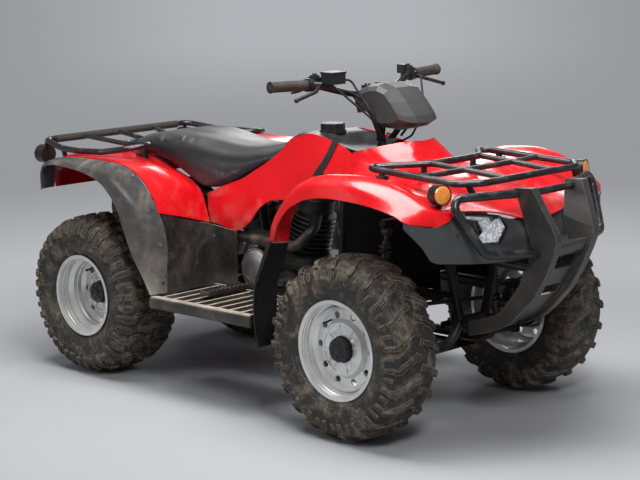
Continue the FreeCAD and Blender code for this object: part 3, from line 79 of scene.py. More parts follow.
class Material:
    """A small wrapper that adds nodes to one material."""

    def __init__(self, name):
        self.material = bpy.data.materials.new(name)
        self.material.use_nodes = True
        self.tree = self.material.node_tree
        self.shader = self.tree.nodes["Principled BSDF"]
        self.where = self.add("ShaderNodeTexCoord").outputs["Object"]

    def add(self, kind, **settings):
        node = self.tree.nodes.new(kind)
        for name, value in settings.items():
            setattr(node, name, value)
        return node

    def put(self, socket, value):
        if isinstance(value, bpy.types.NodeSocket):
            self.tree.links.new(value, socket)
        else:
            socket.default_value = value

    def set(self, **inputs):
        """Give the shader's inputs numbers, colours or sockets; _ stands for the space in a name."""
        for name, value in inputs.items():
            self.put(self.shader.inputs[name.replace("_", " ")], value)

    def noise(self, scale, detail=4.0, rough=0.6, stretch=None, distortion=0.0):
        node = self.add("ShaderNodeTexNoise")
        node.inputs["Scale"].default_value = scale
        node.inputs["Detail"].default_value = detail
        node.inputs["Roughness"].default_value = rough
        node.inputs["Distortion"].default_value = distortion
        where = self.where
        if stretch:
            mapping = self.add("ShaderNodeMapping")
            self.put(mapping.inputs["Vector"], where)
            mapping.inputs["Scale"].default_value = stretch
            where = mapping.outputs["Vector"]
        self.put(node.inputs["Vector"], where)
        return node.outputs["Fac"]

    def voronoi(self, scale):
        """How far a place is from the middle of its cell."""
        node = self.add("ShaderNodeTexVoronoi")
        node.inputs["Scale"].default_value = scale
        self.put(node.inputs["Vector"], self.where)
        return node.outputs["Distance"]

    def calc(self, operation, one, two=0.0, clamp=False):
        node = self.add("ShaderNodeMath", operation=operation, use_clamp=clamp)
        self.put(node.inputs[0], one)
        self.put(node.inputs[1], two)
        return node.outputs[0]

    def times(self, one, two, clamp=False):
        return self.calc("MULTIPLY", one, two, clamp)

    def plus(self, one, two):
        return self.calc("ADD", one, two)

    def most(self, one, two):
        return self.calc("MAXIMUM", one, two)

    def dot(self, one, two):
        node = self.add("ShaderNodeVectorMath", operation="DOT_PRODUCT")
        self.put(node.inputs[0], one)
        self.put(node.inputs[1], two)
        return node.outputs["Value"]

    def ramp(self, value, low, high, first=0.0, last=1.0):
        """The value, spread so that low becomes first and high becomes last."""
        node = self.add("ShaderNodeMapRange", interpolation_type="SMOOTHSTEP")
        self.put(node.inputs["Value"], value)
        for name, number in (("From Min", low), ("From Max", high), ("To Min", first), ("To Max", last)):
            self.put(node.inputs[name], number)
        return node.outputs["Result"]

    def mix(self, share, one, two):
        node = self.add("ShaderNodeMix", data_type="RGBA")
        self.put(node.inputs["Factor"], share)
        self.put(node.inputs[6], one)
        self.put(node.inputs[7], two)
        return node.outputs[2]

    def facing_up(self):
        """How far the surface looks up, from -1 to 1."""
        node = self.add("ShaderNodeNewGeometry")
        split = self.add("ShaderNodeSeparateXYZ")
        self.put(split.inputs[0], node.outputs["Normal"])
        return split.outputs["Z"]

    def height(self):
        """How high a place lies, in metres."""
        split = self.add("ShaderNodeSeparateXYZ")
        self.put(split.inputs[0], self.where)
        return split.outputs["Z"]

    def edges(self, radius):
        """1 where an edge bends within the radius, 0 on flat ground."""
        bevel = self.add("ShaderNodeBevel", samples=4)
        bevel.inputs["Radius"].default_value = radius
        normal = self.add("ShaderNodeNewGeometry").outputs["Normal"]
        return self.ramp(self.dot(bevel.outputs["Normal"], normal), 0.995, 0.9)

    def bump(self, height, strength, distance):
        node = self.add("ShaderNodeBump")
        node.inputs["Strength"].default_value = strength
        node.inputs["Distance"].default_value = distance
        self.put(node.inputs["Height"], height)
        self.put(self.shader.inputs["Normal"], node.outputs["Normal"])


def colour(r, g, b):
    return (r, g, b, 1.0)


def shade(tone, factor, lift=0.0):
    """The colour made darker or paler."""
    return colour(*(min(1.0, c * factor + lift) for c in tone[:3]))


MUD = colour(0.23, 0.185, 0.14)
DUST = colour(0.36, 0.31, 0.26)


def painted_red(name):
    """Glossy moulded red with faint scuffs, and dust low down."""
    m = Material(name)
    streaks = m.noise(7, 6, 0.65, stretch=(1, 3.0, 1.5))
    haze = m.ramp(streaks, 0.55, 0.85, 0.0, 0.16)
    fine = m.ramp(m.noise(120, 3, 0.7, stretch=(1, 8, 1)), 0.66, 0.74, 0.0, 0.16)
    scuffs = m.most(haze, fine)
    base = m.mix(m.ramp(m.noise(3, 3), 0.3, 0.75), colour(0.52, 0.0022, 0.006), colour(0.66, 0.0036, 0.009))
    dusty = m.mix(scuffs, base, colour(0.80, 0.16, 0.14))
    low = m.times(m.ramp(m.height(), 0.70, 0.54), m.ramp(m.noise(14, 5), 0.45, 0.7))
    m.set(Base_Color=m.mix(m.times(low, 0.35), dusty, MUD))
    m.set(Roughness=m.ramp(streaks, 0.35, 0.85, 0.22, 0.40), Specular_IOR_Level=0.35)
    m.set(Coat_Weight=0.35, Coat_Roughness=0.06)
    m.bump(m.noise(22, 3), 0.10, 0.0012)
    return m.material


def moulded(name, base, dirt=0.5, dirt_tone=MUD, low=0.0, rough=(0.45, 0.75), wear=0.0, upward=False,
            shine=0.35):
    """Moulded plastic or powder coat with dirt in patches, on top faces and below the height low.

    rough is the clean and the dirty roughness, wear shows on edges, and upward lays mud on flat tops.
    """
    m = Material(name)
    patches = m.noise(7, 8, 0.68, distortion=0.4)
    speckle = m.noise(60, 5, 0.7)
    up = m.ramp(m.facing_up(), -0.1, 0.9, 0.35, 1.0)
    amount = m.times(m.ramp(patches, 0.40, 0.68), up)
    amount = m.plus(amount, m.times(m.ramp(speckle, 0.52, 0.74), 0.35))
    if low:
        amount = m.plus(amount, m.times(m.ramp(m.height(), low, low - 0.25), 0.45))
    amount = m.times(amount, dirt, clamp=True)
    if upward:
        lying = m.times(m.ramp(m.facing_up(), 0.45, 0.95), m.ramp(speckle, 0.25, 0.6, 0.55, 1.0))
        amount = m.most(amount, lying)
        dirt_tone = m.mix(m.ramp(patches, 0.3, 0.7), colour(0.26, 0.215, 0.17), colour(0.42, 0.37, 0.31))
    tone = m.mix(m.noise(3, 3), base, shade(base, 1.5, 0.004))
    tone = m.mix(amount, tone, dirt_tone)
    if wear:
        worn = m.times(m.edges(0.003), m.ramp(m.noise(40, 4), 0.35, 0.6))
        tone = m.mix(m.times(worn, wear), tone, colour(0.30, 0.27, 0.24))
    m.set(Base_Color=tone, Roughness=m.ramp(amount, 0.0, 1.0, rough[0], rough[1]), Specular_IOR_Level=shine)
    m.bump(m.plus(m.noise(900, 2), m.times(patches, 1.5)), 0.18, 0.0006)
    return m.material


def metal(name, base, rough, dirt, dirt_tone=MUD, metallic=1.0, cast=0.0):
    """Bare or painted metal, dull where dirt lies; cast is the strength of a fine grain."""
    m = Material(name)
    patches = m.noise(11, 7, 0.65)
    amount = m.times(m.ramp(patches, 0.42, 0.72), dirt)
    tone = m.mix(m.noise(5, 4), base, shade(base, 0.75))
    m.set(Base_Color=m.mix(amount, tone, dirt_tone))
    m.set(Metallic=m.ramp(amount, 0.0, 0.8, metallic, 0.0))
    m.set(Roughness=m.ramp(amount, 0.0, 0.8, rough, 0.8))
    m.bump(m.noise(400 if cast else 90, 3), 0.1 + cast, 0.0005)
    return m.material


def rubber(name, base, mud, mud_low, mud_high, corners=0.0):
    """Rubber with dry mud in patches, and on edges that bend within the radius corners."""
    m = Material(name)
    patches = m.noise(16, 8, 0.7, distortion=0.6)
    fine = m.noise(140, 4, 0.7)
    both = m.plus(m.times(patches, 0.75), m.times(fine, 0.25))
    amount = m.ramp(both, mud_low, mud_high)
    tone = m.mix(m.noise(40, 3), base, shade(base, 1.9))
    brown = m.mix(m.noise(30, 4), shade(mud, 0.62), mud)
    if corners:
        worn = m.times(m.edges(corners), m.ramp(m.noise(60, 4), 0.30, 0.55))
        amount = m.most(amount, m.times(worn, 0.95))
    m.set(Base_Color=m.mix(m.times(amount, 0.8), tone, brown))
    m.set(Roughness=m.ramp(amount, 0, 1, 0.55, 0.95), Specular_IOR_Level=0.25)
    m.bump(m.plus(m.noise(220, 5, 0.7), m.times(amount, 0.8)), 0.45, 0.0015)
    return m.material


def vinyl(name):
    """The saddle's grained skin, its top painted paler in patches: partly dust, partly painted sheen."""
    m = Material(name)
    up = m.ramp(m.facing_up(), 0.35, 1.0)
    blotches = m.noise(6, 4, 0.6, stretch=(1, 2.2, 1))
    grain = m.voronoi(900)
    # The top faces are painted paler in patches, partly as dust and partly as painted sheen.
    top_sheen_and_dust = m.times(up, m.ramp(blotches, 0.2, 0.8, 0.45, 1.0))
    tone = m.mix(top_sheen_and_dust, colour(0.012, 0.0125, 0.016), colour(0.072, 0.070, 0.066))
    m.set(Base_Color=tone, Roughness=m.ramp(blotches, 0.3, 0.8, 0.30, 0.46))
    m.set(Sheen_Weight=0.06, Sheen_Roughness=0.4)
    m.bump(m.plus(grain, m.times(blotches, 0.2)), 0.16, 0.0006)
    return m.material


def coated_tube(name, dirt=0.25):
    """Black coated tube with dust on top and small chips."""
    m = Material(name)
    patches = m.noise(18, 6, 0.65)
    on_top = m.ramp(m.facing_up(), -0.2, 0.8, 0.3, 1.0)
    amount = m.times(m.times(m.ramp(patches, 0.5, 0.75), on_top), dirt)
    chips = m.ramp(m.noise(70, 4, 0.6), 0.68, 0.74, 0.0, 0.35)
    tone = m.mix(amount, colour(0.010, 0.010, 0.012), DUST)
    m.set(Base_Color=m.mix(chips, tone, colour(0.16, 0.15, 0.14)))
    m.set(Roughness=m.ramp(patches, 0.3, 0.8, 0.22, 0.5))
    m.set(Coat_Weight=0.2, Coat_Roughness=0.15)
    m.bump(m.noise(500, 2), 0.06, 0.0005)
    return m.material


def reflector(name):
    """The silvered bowl of a lamp, with small facets and a faint painted glow that stands in for its bright
    reflection.
    """
    m = Material(name)
    cells = m.voronoi(130)
    tone = m.mix(m.ramp(cells, 0.2, 0.7), colour(0.92, 0.94, 0.95), colour(0.42, 0.45, 0.48))
    m.set(Base_Color=tone, Metallic=0.25, Roughness=m.ramp(m.noise(30, 2), 0.3, 0.7, 0.10, 0.24))
    # The bowl is no lamp: this emission is a painted reflection.
    m.set(Emission_Color=tone, Emission_Strength=0.28)
    m.bump(cells, 0.35, 0.0012)
    return m.material


def lens(name, tint, rough, cells):
    """A coloured lens with small facets, some painted paler as light coming through them."""
    m = Material(name)
    facets = m.voronoi(cells)
    # Painted light: the paler tint on some facets stands in for light coming through the lens.
    m.set(Base_Color=m.mix(m.ramp(facets, 0.15, 0.75), tint, shade(tint, 1.35, 0.02)))
    m.set(Roughness=m.ramp(m.noise(9, 3), 0.3, 0.8, rough, rough + 0.12))
    m.set(Coat_Weight=0.8, Coat_Roughness=0.04)
    m.set(Subsurface_Weight=0.25, Subsurface_Radius=(0.004, 0.002, 0.001), Subsurface_Scale=1.0)
    m.bump(facets, 0.5, 0.0014)
    return m.material


def glass(name):
    """A thin clear cover, a little hazed."""
    m = Material(name)
    m.set(Base_Color=m.mix(m.noise(12, 3), colour(0.93, 0.95, 0.97), colour(1, 1, 1)))
    m.set(Roughness=m.ramp(m.noise(25, 4), 0.45, 0.8, 0.0, 0.10), Transmission_Weight=1.0, IOR=1.25)
    m.bump(m.noise(40, 2), 0.04, 0.0006)
    return m.material


RED = painted_red("red_shell")
GREY = moulded("grey_cover", colour(0.040, 0.041, 0.044), dirt=0.26, dirt_tone=colour(0.16, 0.145, 0.13),
               rough=(0.34, 0.62))
FLARE = moulded("dusty_flare", colour(0.036, 0.035, 0.035), dirt=0.66, dirt_tone=colour(0.27, 0.23, 0.19),
                low=0.55, rough=(0.28, 0.62), shine=0.5)
BLACK = moulded("black_moulding", colour(0.008, 0.008, 0.009), dirt=0.16, dirt_tone=colour(0.12, 0.10, 0.085),
                rough=(0.36, 0.7))
WALLS = moulded("footwell_black", colour(0.010, 0.010, 0.010), dirt=0.34, dirt_tone=colour(0.15, 0.115, 0.082),
                low=0.42, rough=(0.40, 0.75), upward=True)
NACELLE = moulded("creased_pod", colour(0.028, 0.028, 0.029), dirt=0.12, dirt_tone=colour(0.19, 0.185, 0.17),
                  rough=(0.46, 0.62), shine=0.4)
GUARD = moulded("cast_guard", colour(0.030, 0.029, 0.029), dirt=0.38, dirt_tone=colour(0.18, 0.155, 0.13),
                rough=(0.30, 0.55), wear=0.8)
TUBE = coated_tube("coated_tube")
CHASSIS = moulded("chassis_paint", colour(0.008, 0.008, 0.008), dirt=0.32, dirt_tone=colour(0.13, 0.105, 0.08),
                  low=0.35, rough=(0.38, 0.8), shine=0.25)
# Black plastic made darker and duller than the other blacks: painted shade inside the body.
INNER_BLACK_AND_SHADE = moulded("inner_black_and_shade", colour(0.0016, 0.0016, 0.0016), dirt=0.10,
                    dirt_tone=colour(0.03, 0.024, 0.02), rough=(0.6, 0.9), shine=0.05)
RIM = metal("silver_rim", colour(0.80, 0.80, 0.79), rough=0.28, dirt=0.30, dirt_tone=colour(0.30, 0.26, 0.22),
            metallic=0.55)
CAST = metal("cast_engine", colour(0.36, 0.355, 0.345), rough=0.42, dirt=0.7,
             dirt_tone=colour(0.10, 0.085, 0.07), cast=0.15)
SOOT = metal("engine_black", colour(0.03, 0.03, 0.03), rough=0.5, dirt=0.6,
             dirt_tone=colour(0.07, 0.058, 0.046), metallic=0.5, cast=0.1)
DARK = metal("dark_iron", colour(0.05, 0.048, 0.046), rough=0.42, dirt=0.55,
             dirt_tone=colour(0.15, 0.12, 0.095), metallic=0.7, cast=0.1)
BOLT = metal("worn_bolt", colour(0.10, 0.097, 0.092), rough=0.38, dirt=0.4, metallic=0.8)
TYRE = rubber("muddy_tyre", colour(0.020, 0.019, 0.018), colour(0.34, 0.27, 0.20), 0.46, 0.68, corners=0.005)
GRIP = rubber("grip_rubber", colour(0.030, 0.028, 0.026), colour(0.13, 0.115, 0.095), 0.48, 0.72)
HOSE = rubber("cable_sheath", colour(0.008, 0.008, 0.008), colour(0.06, 0.05, 0.042), 0.60, 0.80)
VINYL = vinyl("seat_vinyl")
AMBER = lens("amber_lens", colour(0.66, 0.22, 0.025), 0.14, 190)
RUBY = lens("red_lens", colour(0.55, 0.006, 0.008), 0.12, 190)
MIRROR = reflector("lamp_bowl")
CLEAR = glass("clear_lens")

FINISHES = {
    "bumper_guard": GUARD, "bumper_tubes": TUBE, "cables": HOSE, "controls": BLACK, "engine": SOOT,
    "exhaust": DARK, "foot_levers": DARK, "foot_pegs": DARK, "footwells": WALLS, "frame": CHASSIS,
    "front_arms": CHASSIS, "front_cover": GREY, "front_fenders": RED, "front_flaps": BLACK,
    "front_hub_left": BLACK, "front_hub_right": BLACK, "front_indicators": BLACK, "front_rack": TUBE,
    "front_rim_left": RIM, "front_rim_right": RIM, "front_shocks": DARK, "front_tyre_left": TYRE,
    "front_tyre_right": TYRE, "grips": GRIP, "handlebar": TUBE, "headlights": CLEAR, "hood": RED,
    "inner_guards": INNER_BLACK_AND_SHADE, "knuckle_left": DARK, "knuckle_right": DARK, "nacelle": NACELLE,
    "rear_axle": DARK, "rear_fender": RED, "rear_flares": FLARE, "rear_lamps": BLACK, "rear_rack": TUBE,
    "rear_rims": RIM, "rear_shock": DARK, "rear_tyres": TYRE, "seat": VINYL, "side_covers": RED,
    "steering_shaft": CHASSIS, "swingarm": CHASSIS, "tank_straps": BLACK, "tank_top": BLACK,
    "tie_rod_left": DARK, "tie_rod_right": DARK,
}
for name, node in nodes.items():
    node.data.materials.clear()
    node.data.materials.append(FINISHES[name])


# ---------------------------------------------------------------- mesh helpers

def piece(name, mesh, material, body, angle=35):
    """An object that rides on the body, shaded smooth up to the angle."""
    thing = bpy.data.objects.new(name, mesh)
    collection.objects.link(thing)
    mesh.materials.append(material)
    for polygon in mesh.polygons:
        polygon.use_smooth = True
    mesh.set_sharp_from_angle(angle=math.radians(angle))
    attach(thing, body)
    return thing


def mesh_of(name, points, faces):
    mesh = bpy.data.meshes.new(name)
    mesh.from_pydata([tuple(p) for p in points], [], faces)
    mesh.update()
    return mesh


def rework(mesh, *steps):
    """Run the steps on the mesh, opened for editing."""
    bm = bmesh.new()
    bm.from_mesh(mesh)
    for step in steps:
        step(bm)
    bm.to_mesh(mesh)
    bm.free()


def weld(bm):
    bmesh.ops.remove_doubles(bm, verts=bm.verts, dist=0.00002)


def drop_loose_points(bm):
    bmesh.ops.delete(bm, geom=[v for v in bm.verts if not v.link_faces], context="VERTS")


def face_outwards(bm):
    bmesh.ops.recalc_face_normals(bm, faces=bm.faces)


def add_bevel(thing, width, segments=2):
    bevel = thing.modifiers.new("edges", "BEVEL")
    bevel.width = width
    bevel.segments = segments
    bevel.limit_method = "ANGLE"
    bevel.angle_limit = math.radians(40)


for name, width in (("nacelle", 0.005), ("bumper_guard", 0.003), ("footwells", 0.0012), ("front_flaps", 0.0015),
                    ("controls", 0.0015), ("engine", 0.0015)):
    add_bevel(nodes[name], width)


# ---------------------------------------------------------------- stage, light and camera

# The camera, as it was solved from the photo: its place in millimetres, its turns in degrees, and its focal
# length in the picture's pixels.
CAMERA_PLACE = (4518.06, -4489.44, 1666.46)
YAW, PITCH, ROLL = (math.radians(v) for v in (44.6587, 10.4250, -0.7873))
FOCAL = 1847.126
PICTURE = (640, 480)
SENSOR = 36
look = Vector((-math.sin(YAW) * math.cos(PITCH), math.cos(YAW) * math.cos(PITCH), -math.sin(PITCH)))
level = Vector((math.cos(YAW), math.sin(YAW), 0))
rise = level.cross(look)
right = level * math.cos(ROLL) + rise * math.sin(ROLL)
up = rise * math.cos(ROLL) - level * math.sin(ROLL)


def floor_material():
    """A grey studio floor: shaded by the lamps near the bike, further out glowing with a painted pool of light that
    fades away from the bike, and far behind painted darker to the sides as shade.
    """
    m = Material("studio_floor")
    far_tone = colour(0.315, 0.32, 0.335)
    away = m.add("ShaderNodeVectorMath", operation="LENGTH")
    m.put(away.inputs[0], m.where)
    distance = away.outputs["Value"]
    near = m.ramp(distance, 1.1, 2.7)
    m.set(Base_Color=m.mix(near, colour(0.36, 0.365, 0.38), colour(0.34, 0.345, 0.36)), Roughness=0.85)
    # Painted light: the glow is brighter near the bike and fades outwards, a painted pool of light.
    painted_light_pool = m.mix(m.ramp(distance, 1.6, 5.2), colour(0.53, 0.54, 0.56), far_tone)
    # Painted shade: far out, the glow is darker the further a place lies to the side of the camera's view.
    reach = m.plus(m.dot(m.where, (-level.y, level.x, 0)), 6.4)
    share = m.calc("DIVIDE", m.calc("ABSOLUTE", m.dot(m.where, level)), reach)
    behind = m.mix(m.ramp(share, 0.03, 0.19), colour(0.445, 0.45, 0.475), far_tone)
    glow = m.add("ShaderNodeEmission")
    m.put(glow.inputs["Color"], m.mix(m.ramp(distance, 6.0, 16.0), painted_light_pool, behind))
    blend = m.add("ShaderNodeMixShader")
    for socket, value in zip(blend.inputs, (near, m.shader.outputs[0], glow.outputs[0])):
        m.put(socket, value)
    m.put(m.tree.nodes["Material Output"].inputs["Surface"], blend.outputs[0])
    return m.material


bm = bmesh.new()
bmesh.ops.create_circle(bm, cap_ends=True, segments=64, radius=60)
floor_mesh = bpy.data.meshes.new("floor")
bm.to_mesh(floor_mesh)
bm.free()
floor = bpy.data.objects.new("floor", floor_mesh)
floor_mesh.materials.append(floor_material())
collection.objects.link(floor)

world = bpy.data.worlds.new("studio")
bpy.context.scene.world = world
world.use_nodes = True
sky = world.node_tree.nodes["Background"]
sky.inputs["Color"].default_value = (0.86, 0.88, 0.92, 1)
sky.inputs["Strength"].default_value = 0.20


def softbox(name, place, target, width, height, watts):
    light = bpy.data.lights.new(name, "AREA")
    light.shape = "RECTANGLE"
    light.size, light.size_y, light.energy = width, height, watts
    thing = bpy.data.objects.new(name, light)
    collection.objects.link(thing)
    thing.location = place
    thing.rotation_mode = "QUATERNION"
    thing.rotation_quaternion = (Vector(target) - Vector(place)).to_track_quat("-Z", "Y")


softbox("overhead", (0.2, -0.4, 3.2), (0, 0, 0.5), 3.0, 1.1, 150)
softbox("key", (3.0, -2.0, 3.0), (0.3, 0, 0.6), 0.9, 0.9, 78)
softbox("side", (-1.4, -3.8, 1.9), (-0.2, 0, 0.5), 1.3, 0.6, 22)
softbox("back", (-2.4, 3.2, 2.4), (0, 0, 0.6), 1.8, 1.2, 35)

camera_data = bpy.data.cameras.new("camera")
camera_data.sensor_width = SENSOR
camera_data.lens = FOCAL * SENSOR / PICTURE[0]
camera = bpy.data.objects.new("camera", camera_data)
collection.objects.link(camera)
camera.matrix_world = Matrix.Translation(at(*CAMERA_PLACE)) @ Matrix((right, up, -look)).transposed().to_4x4()
bpy.context.scene.camera = camera
bpy.context.scene.view_settings.view_transform = "Standard"


# ---------------------------------------------------------------- tyres

def tyre_profile(half, bead, radius, lug):
    """(y, radius) pairs of a tyre's outside without its lugs, from one bead to the other."""
    tread = radius - lug
    wall = tread - bead
    side = [
        (0.78, bead + 1), (0.80, bead + 10), (0.83, bead + 12), (0.86, bead + 20), (0.90, bead + 21),
        (0.93, bead + 30), (0.955, bead + 31), (0.965, bead + 42), (0.985, bead + 0.42 * wall),
        (0.99, bead + 0.55 * wall), (0.97, bead + 0.70 * wall), (0.92, tread - 24), (0.83, tread - 13),
        (0.70, tread - 7), (0.50, tread - 3), (0.25, tread - 1), (0.0, tread),
    ]
    line = [(-half * y, r) for y, r in side]
    return line + [(-y, r) for y, r in reversed(line[:-1])]


def smoothed(line, rounds=2):
    """The line with its corners rounded and its ends kept."""
    for _ in range(rounds):
        fine = [line[0]]
        for (a, b), (c, d) in zip(line, line[1:]):
            fine += [(a * 0.75 + c * 0.25, b * 0.75 + d * 0.25), (a * 0.25 + c * 0.75, b * 0.25 + d * 0.75)]
        line = fine + [line[-1]]
    return line


class Carcass:
    """The tyre's outside, with places given by an angle and a distance from the middle over the tread."""

    def __init__(self, half, bead, radius, lug):
        self.line = smoothed(tyre_profile(half, bead, radius, lug))
        self.half_line = [p for p in self.line if p[0] >= -0.01]
        self.reach = [0.0]
        for (a, b), (c, d) in zip(self.half_line, self.half_line[1:]):
            self.reach.append(self.reach[-1] + math.hypot(c - a, d - b))

    def place(self, across):
        """(y, radius, normal y, normal r) at a signed distance over the tread."""
        way = 1 if across >= 0 else -1
        far = abs(across)
        for i in range(len(self.reach) - 1):
            if self.reach[i + 1] >= far:
                break
        (a, b), (c, d) = self.half_line[i], self.half_line[i + 1]
        share = (far - self.reach[i]) / max(self.reach[i + 1] - self.reach[i], 1e-6)
        run = math.hypot(c - a, d - b)
        ny, nr = -(d - b) / run, (c - a) / run
        return way * (a + (c - a) * share), b + (d - b) * share, way * ny, nr

    def point(self, turn, across, out=0.0):
        """The point at an angle and a signed distance over the tread, out from the surface."""
        y, r, ny, nr = self.place(across)
        y, r = y + ny * out, r + nr * out
        return Vector((r * math.sin(turn), y, r * math.cos(turn)))


def lug_mesh(carcass, path, width, height, taper=2.5):
    """Corners and faces of one lug along a path of (angle, distance over the tread, share of the width)."""
    points, faces = [], []
    for index, (turn, across, share) in enumerate(path):
        before = path[max(index - 1, 0)]
        after = path[min(index + 1, len(path) - 1)]
        along = (carcass.point(after[0], after[1]) - carcass.point(before[0], before[1])).normalized()
        base = carcass.point(turn, across)
        top = carcass.point(turn, across, height)
        normal = (top - base).normalized()
        side = normal.cross(along).normalized() * (width * share / 2)
        sink = base - normal * 3
        inset = side * (1 - 2 * taper / width)
        points += [sink - side, top - inset, top + inset, sink + side]
    for index in range(len(path) - 1):
        a, b = index * 4, index * 4 + 4
        for j in range(3):
            faces.append((a + j, b + j, b + j + 1, a + j + 1))
    last = len(points) - 4
    faces += [(0, 1, 2, 3), (last + 3, last + 2, last + 1, last)]
    return points, faces


def carcass_mesh(carcass, segments=128, thick=12):
    """Corners and faces of the turned carcass, with its beads thickened inwards."""
    points, faces = [], []
    ring, count = carcass.line, len(carcass.line)
    turns = [2 * math.pi * i / segments for i in range(segments)]
    for turn in turns:
        for y, r in ring:
            points.append(Vector((r * math.sin(turn), y, r * math.cos(turn))))
    for i in range(segments):
        a, b = i * count, (i + 1) % segments * count
        for j in range(count - 1):
            faces.append((a + j, a + j + 1, b + j + 1, b + j))
    inner = len(points)
    for turn in turns:
        for y, r in (ring[0], ring[-1]):
            points.append(Vector((r * math.sin(turn), y * (1 - thick / abs(y)), r * math.cos(turn))))
    for i in range(segments):
        k = (i + 1) % segments
        faces.append((i * count, k * count, inner + k * 2, inner + i * 2))
        faces.append((k * count + count - 1, i * count + count - 1, inner + i * 2 + 1, inner + k * 2 + 1))
    return points, faces


def build_tyre(name, node, body, centre, carcass, lugs):
    """One detailed tyre: a turned carcass and its lugs, in place of the CAD node."""
    points, faces = carcass_mesh(carcass)
    for path, width, height in lugs:
        more, sides = lug_mesh(carcass, path, width, height)
        first = len(points)
        points += more
        faces += [tuple(first + c for c in face) for face in sides]
    placed = [(centre.x + p.x / 1000, centre.y + p.y / 1000, centre.z + p.z / 1000) for p in points]
    mesh = mesh_of(name, placed, faces)
    rework(mesh, face_outwards)
    thing = piece(name, mesh, TYRE, body, angle=42)
    add_bevel(thing, 0.0016)
    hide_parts(node)


def front_lugs():
    """Stepped bars that sweep out to the shoulder, each with two short fins below it on the sidewall."""
    lugs = []
    pitches = 23
    step = 2 * math.pi / pitches
    for i in range(pitches):
        for way in (1, -1):
            t = i * step + (0 if way == 1 else step / 2)
            path = [(t, way * 4, 1.0), (t + 0.030, way * 20, 1.0), (t + 0.042, way * 36, 1.0),
                    (t + 0.085, way * 50, 1.1), (t + 0.105, way * 66, 1.05), (t + 0.148, way * 78, 1.0),
                    (t + 0.158, way * 94, 0.95)]
            lugs.append((path, 21, 11.5))
            fin = t + 0.150
            lugs.append(([(fin, way * 97, 1.0), (fin, way * 112, 1.0), (fin, way * 126, 0.8)], 17, 8))
            fin = t + 0.150 + step * 0.45
            lugs.append(([(fin, way * 99, 1.0), (fin, way * 112, 1.0), (fin, way * 124, 0.8)], 13, 6.5))
    return lugs


def rear_lugs():
    """Small blocks in staggered rows, and twice as many teeth round each shoulder."""
    lugs = []
    pitches = 20
    step = 2 * math.pi / pitches
    for i in range(pitches):
        for way in (1, -1):
            t = i * step + (0 if way == 1 else step / 2)
            lugs.append(([(t, way * 4, 1.0), (t + 0.020, way * 28, 1.0)], 25, 11))
            lugs.append(([(t + step * 0.5, way * 22, 1.0), (t + step * 0.5 + 0.02, way * 52, 1.0)], 27, 11))
            lugs.append(([(t + 0.01, way * 46, 1.0), (t + 0.03, way * 80, 1.0)], 27, 11))
            for half in (0, 1):
                edge = t + 0.05 + half * step / 2
                start = 88 if half else 82
                lugs.append(([(edge, way * start, 1.0), (edge, way * 106, 1.0), (edge, way * 126, 1.0),
                              (edge, way * (146 - 6 * half), 0.85)], 25 - 3 * half, 9.5 - half))
    return lugs


front_carcass = Carcass(half=101, bead=152, radius=292.6, lug=11.5)
rear_carcass = Carcass(half=123.5, bead=138, radius=285.6, lug=11)
for side, way, centre in wheel_centres("front"):
    build_tyre("tyre_front_" + side, "front_tyre_" + side, "wheel_front_" + side, centre, front_carcass,
               front_lugs())
for side, way, centre in wheel_centres("rear"):
    build_tyre("tyre_rear_" + side, "rear_tyres", "rear_wheels", centre, rear_carcass, rear_lugs())


# ---------------------------------------------------------------- saddle

def padded_seat():
    """The saddle: the CAD seat with its edges rounded and its cover swollen, in place of the node."""
    mesh = nodes["seat"].data.copy()
    mesh.materials.clear()
    thing = piece("saddle", mesh, VINYL, "chassis", angle=180)
    remesh = thing.modifiers.new("remesh", "REMESH")
    remesh.mode = "VOXEL"
    remesh.voxel_size = 0.006
    remesh.use_smooth_shade = True
    soften = thing.modifiers.new("soften", "SMOOTH")
    soften.factor = 0.6
    soften.iterations = 12
    bake_modifiers(thing)
    swell(thing, pressure=4.0, cap=0.007)
    finer = thing.modifiers.new("finer", "SUBSURF")
    finer.levels = finer.render_levels = 1
    bake_modifiers(thing)
    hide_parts("seat")


def bake_modifiers(thing):
    """Turn what the modifiers give into the mesh itself."""
    bpy.context.view_layer.update()
    depsgraph = bpy.context.evaluated_depsgraph_get()
    made = bpy.data.meshes.new_from_object(thing.evaluated_get(depsgraph), depsgraph=depsgraph)
    thing.modifiers.clear()
    thing.data = made
    for polygon in made.polygons:
        polygon.use_smooth = True


def swell(thing, pressure, cap, foot=0.012, frames=20):
    """Let the cover swell as cloth, held up to foot above its lowest point, and keep each point within the cap."""
    before = [v.co.copy() for v in thing.data.vertices]
    lowest = min(v.z for v in before)
    cloth = thing.modifiers.new("cloth", "CLOTH")
    settings = cloth.settings
    settings.quality = 6
    settings.mass = 0.4
    settings.tension_stiffness = settings.compression_stiffness = 25
    settings.shear_stiffness = 10
    settings.bending_stiffness = 3
    settings.use_pressure = True
    settings.uniform_pressure_force = pressure
    settings.effector_weights.gravity = 0
    held = thing.vertex_groups.new(name="held")
    held.add([i for i, p in enumerate(before) if p.z < lowest + foot], 1.0, "REPLACE")
    settings.vertex_group_mass = "held"
    cloth.point_cache.frame_start, cloth.point_cache.frame_end = 1, frames
    scene = bpy.context.scene
    for number in range(1, frames + 1):
        scene.frame_set(number)
    depsgraph = bpy.context.evaluated_depsgraph_get()
    shaped = thing.evaluated_get(depsgraph).to_mesh()
    after = [v.co.copy() for v in shaped.vertices]
    thing.evaluated_get(depsgraph).to_mesh_clear()
    thing.modifiers.clear()
    scene.frame_set(1)
    for vertex, start, end in zip(thing.data.vertices, before, after):
        move = end - start
        if move.length > cap:
            move = move.normalized() * cap
        vertex.co = start + move


padded_seat()


# ---------------------------------------------------------------- small parts

def flipped(p):
    """The point or direction on the bike's other side."""
    return Vector((p.x, -p.y, p.z))


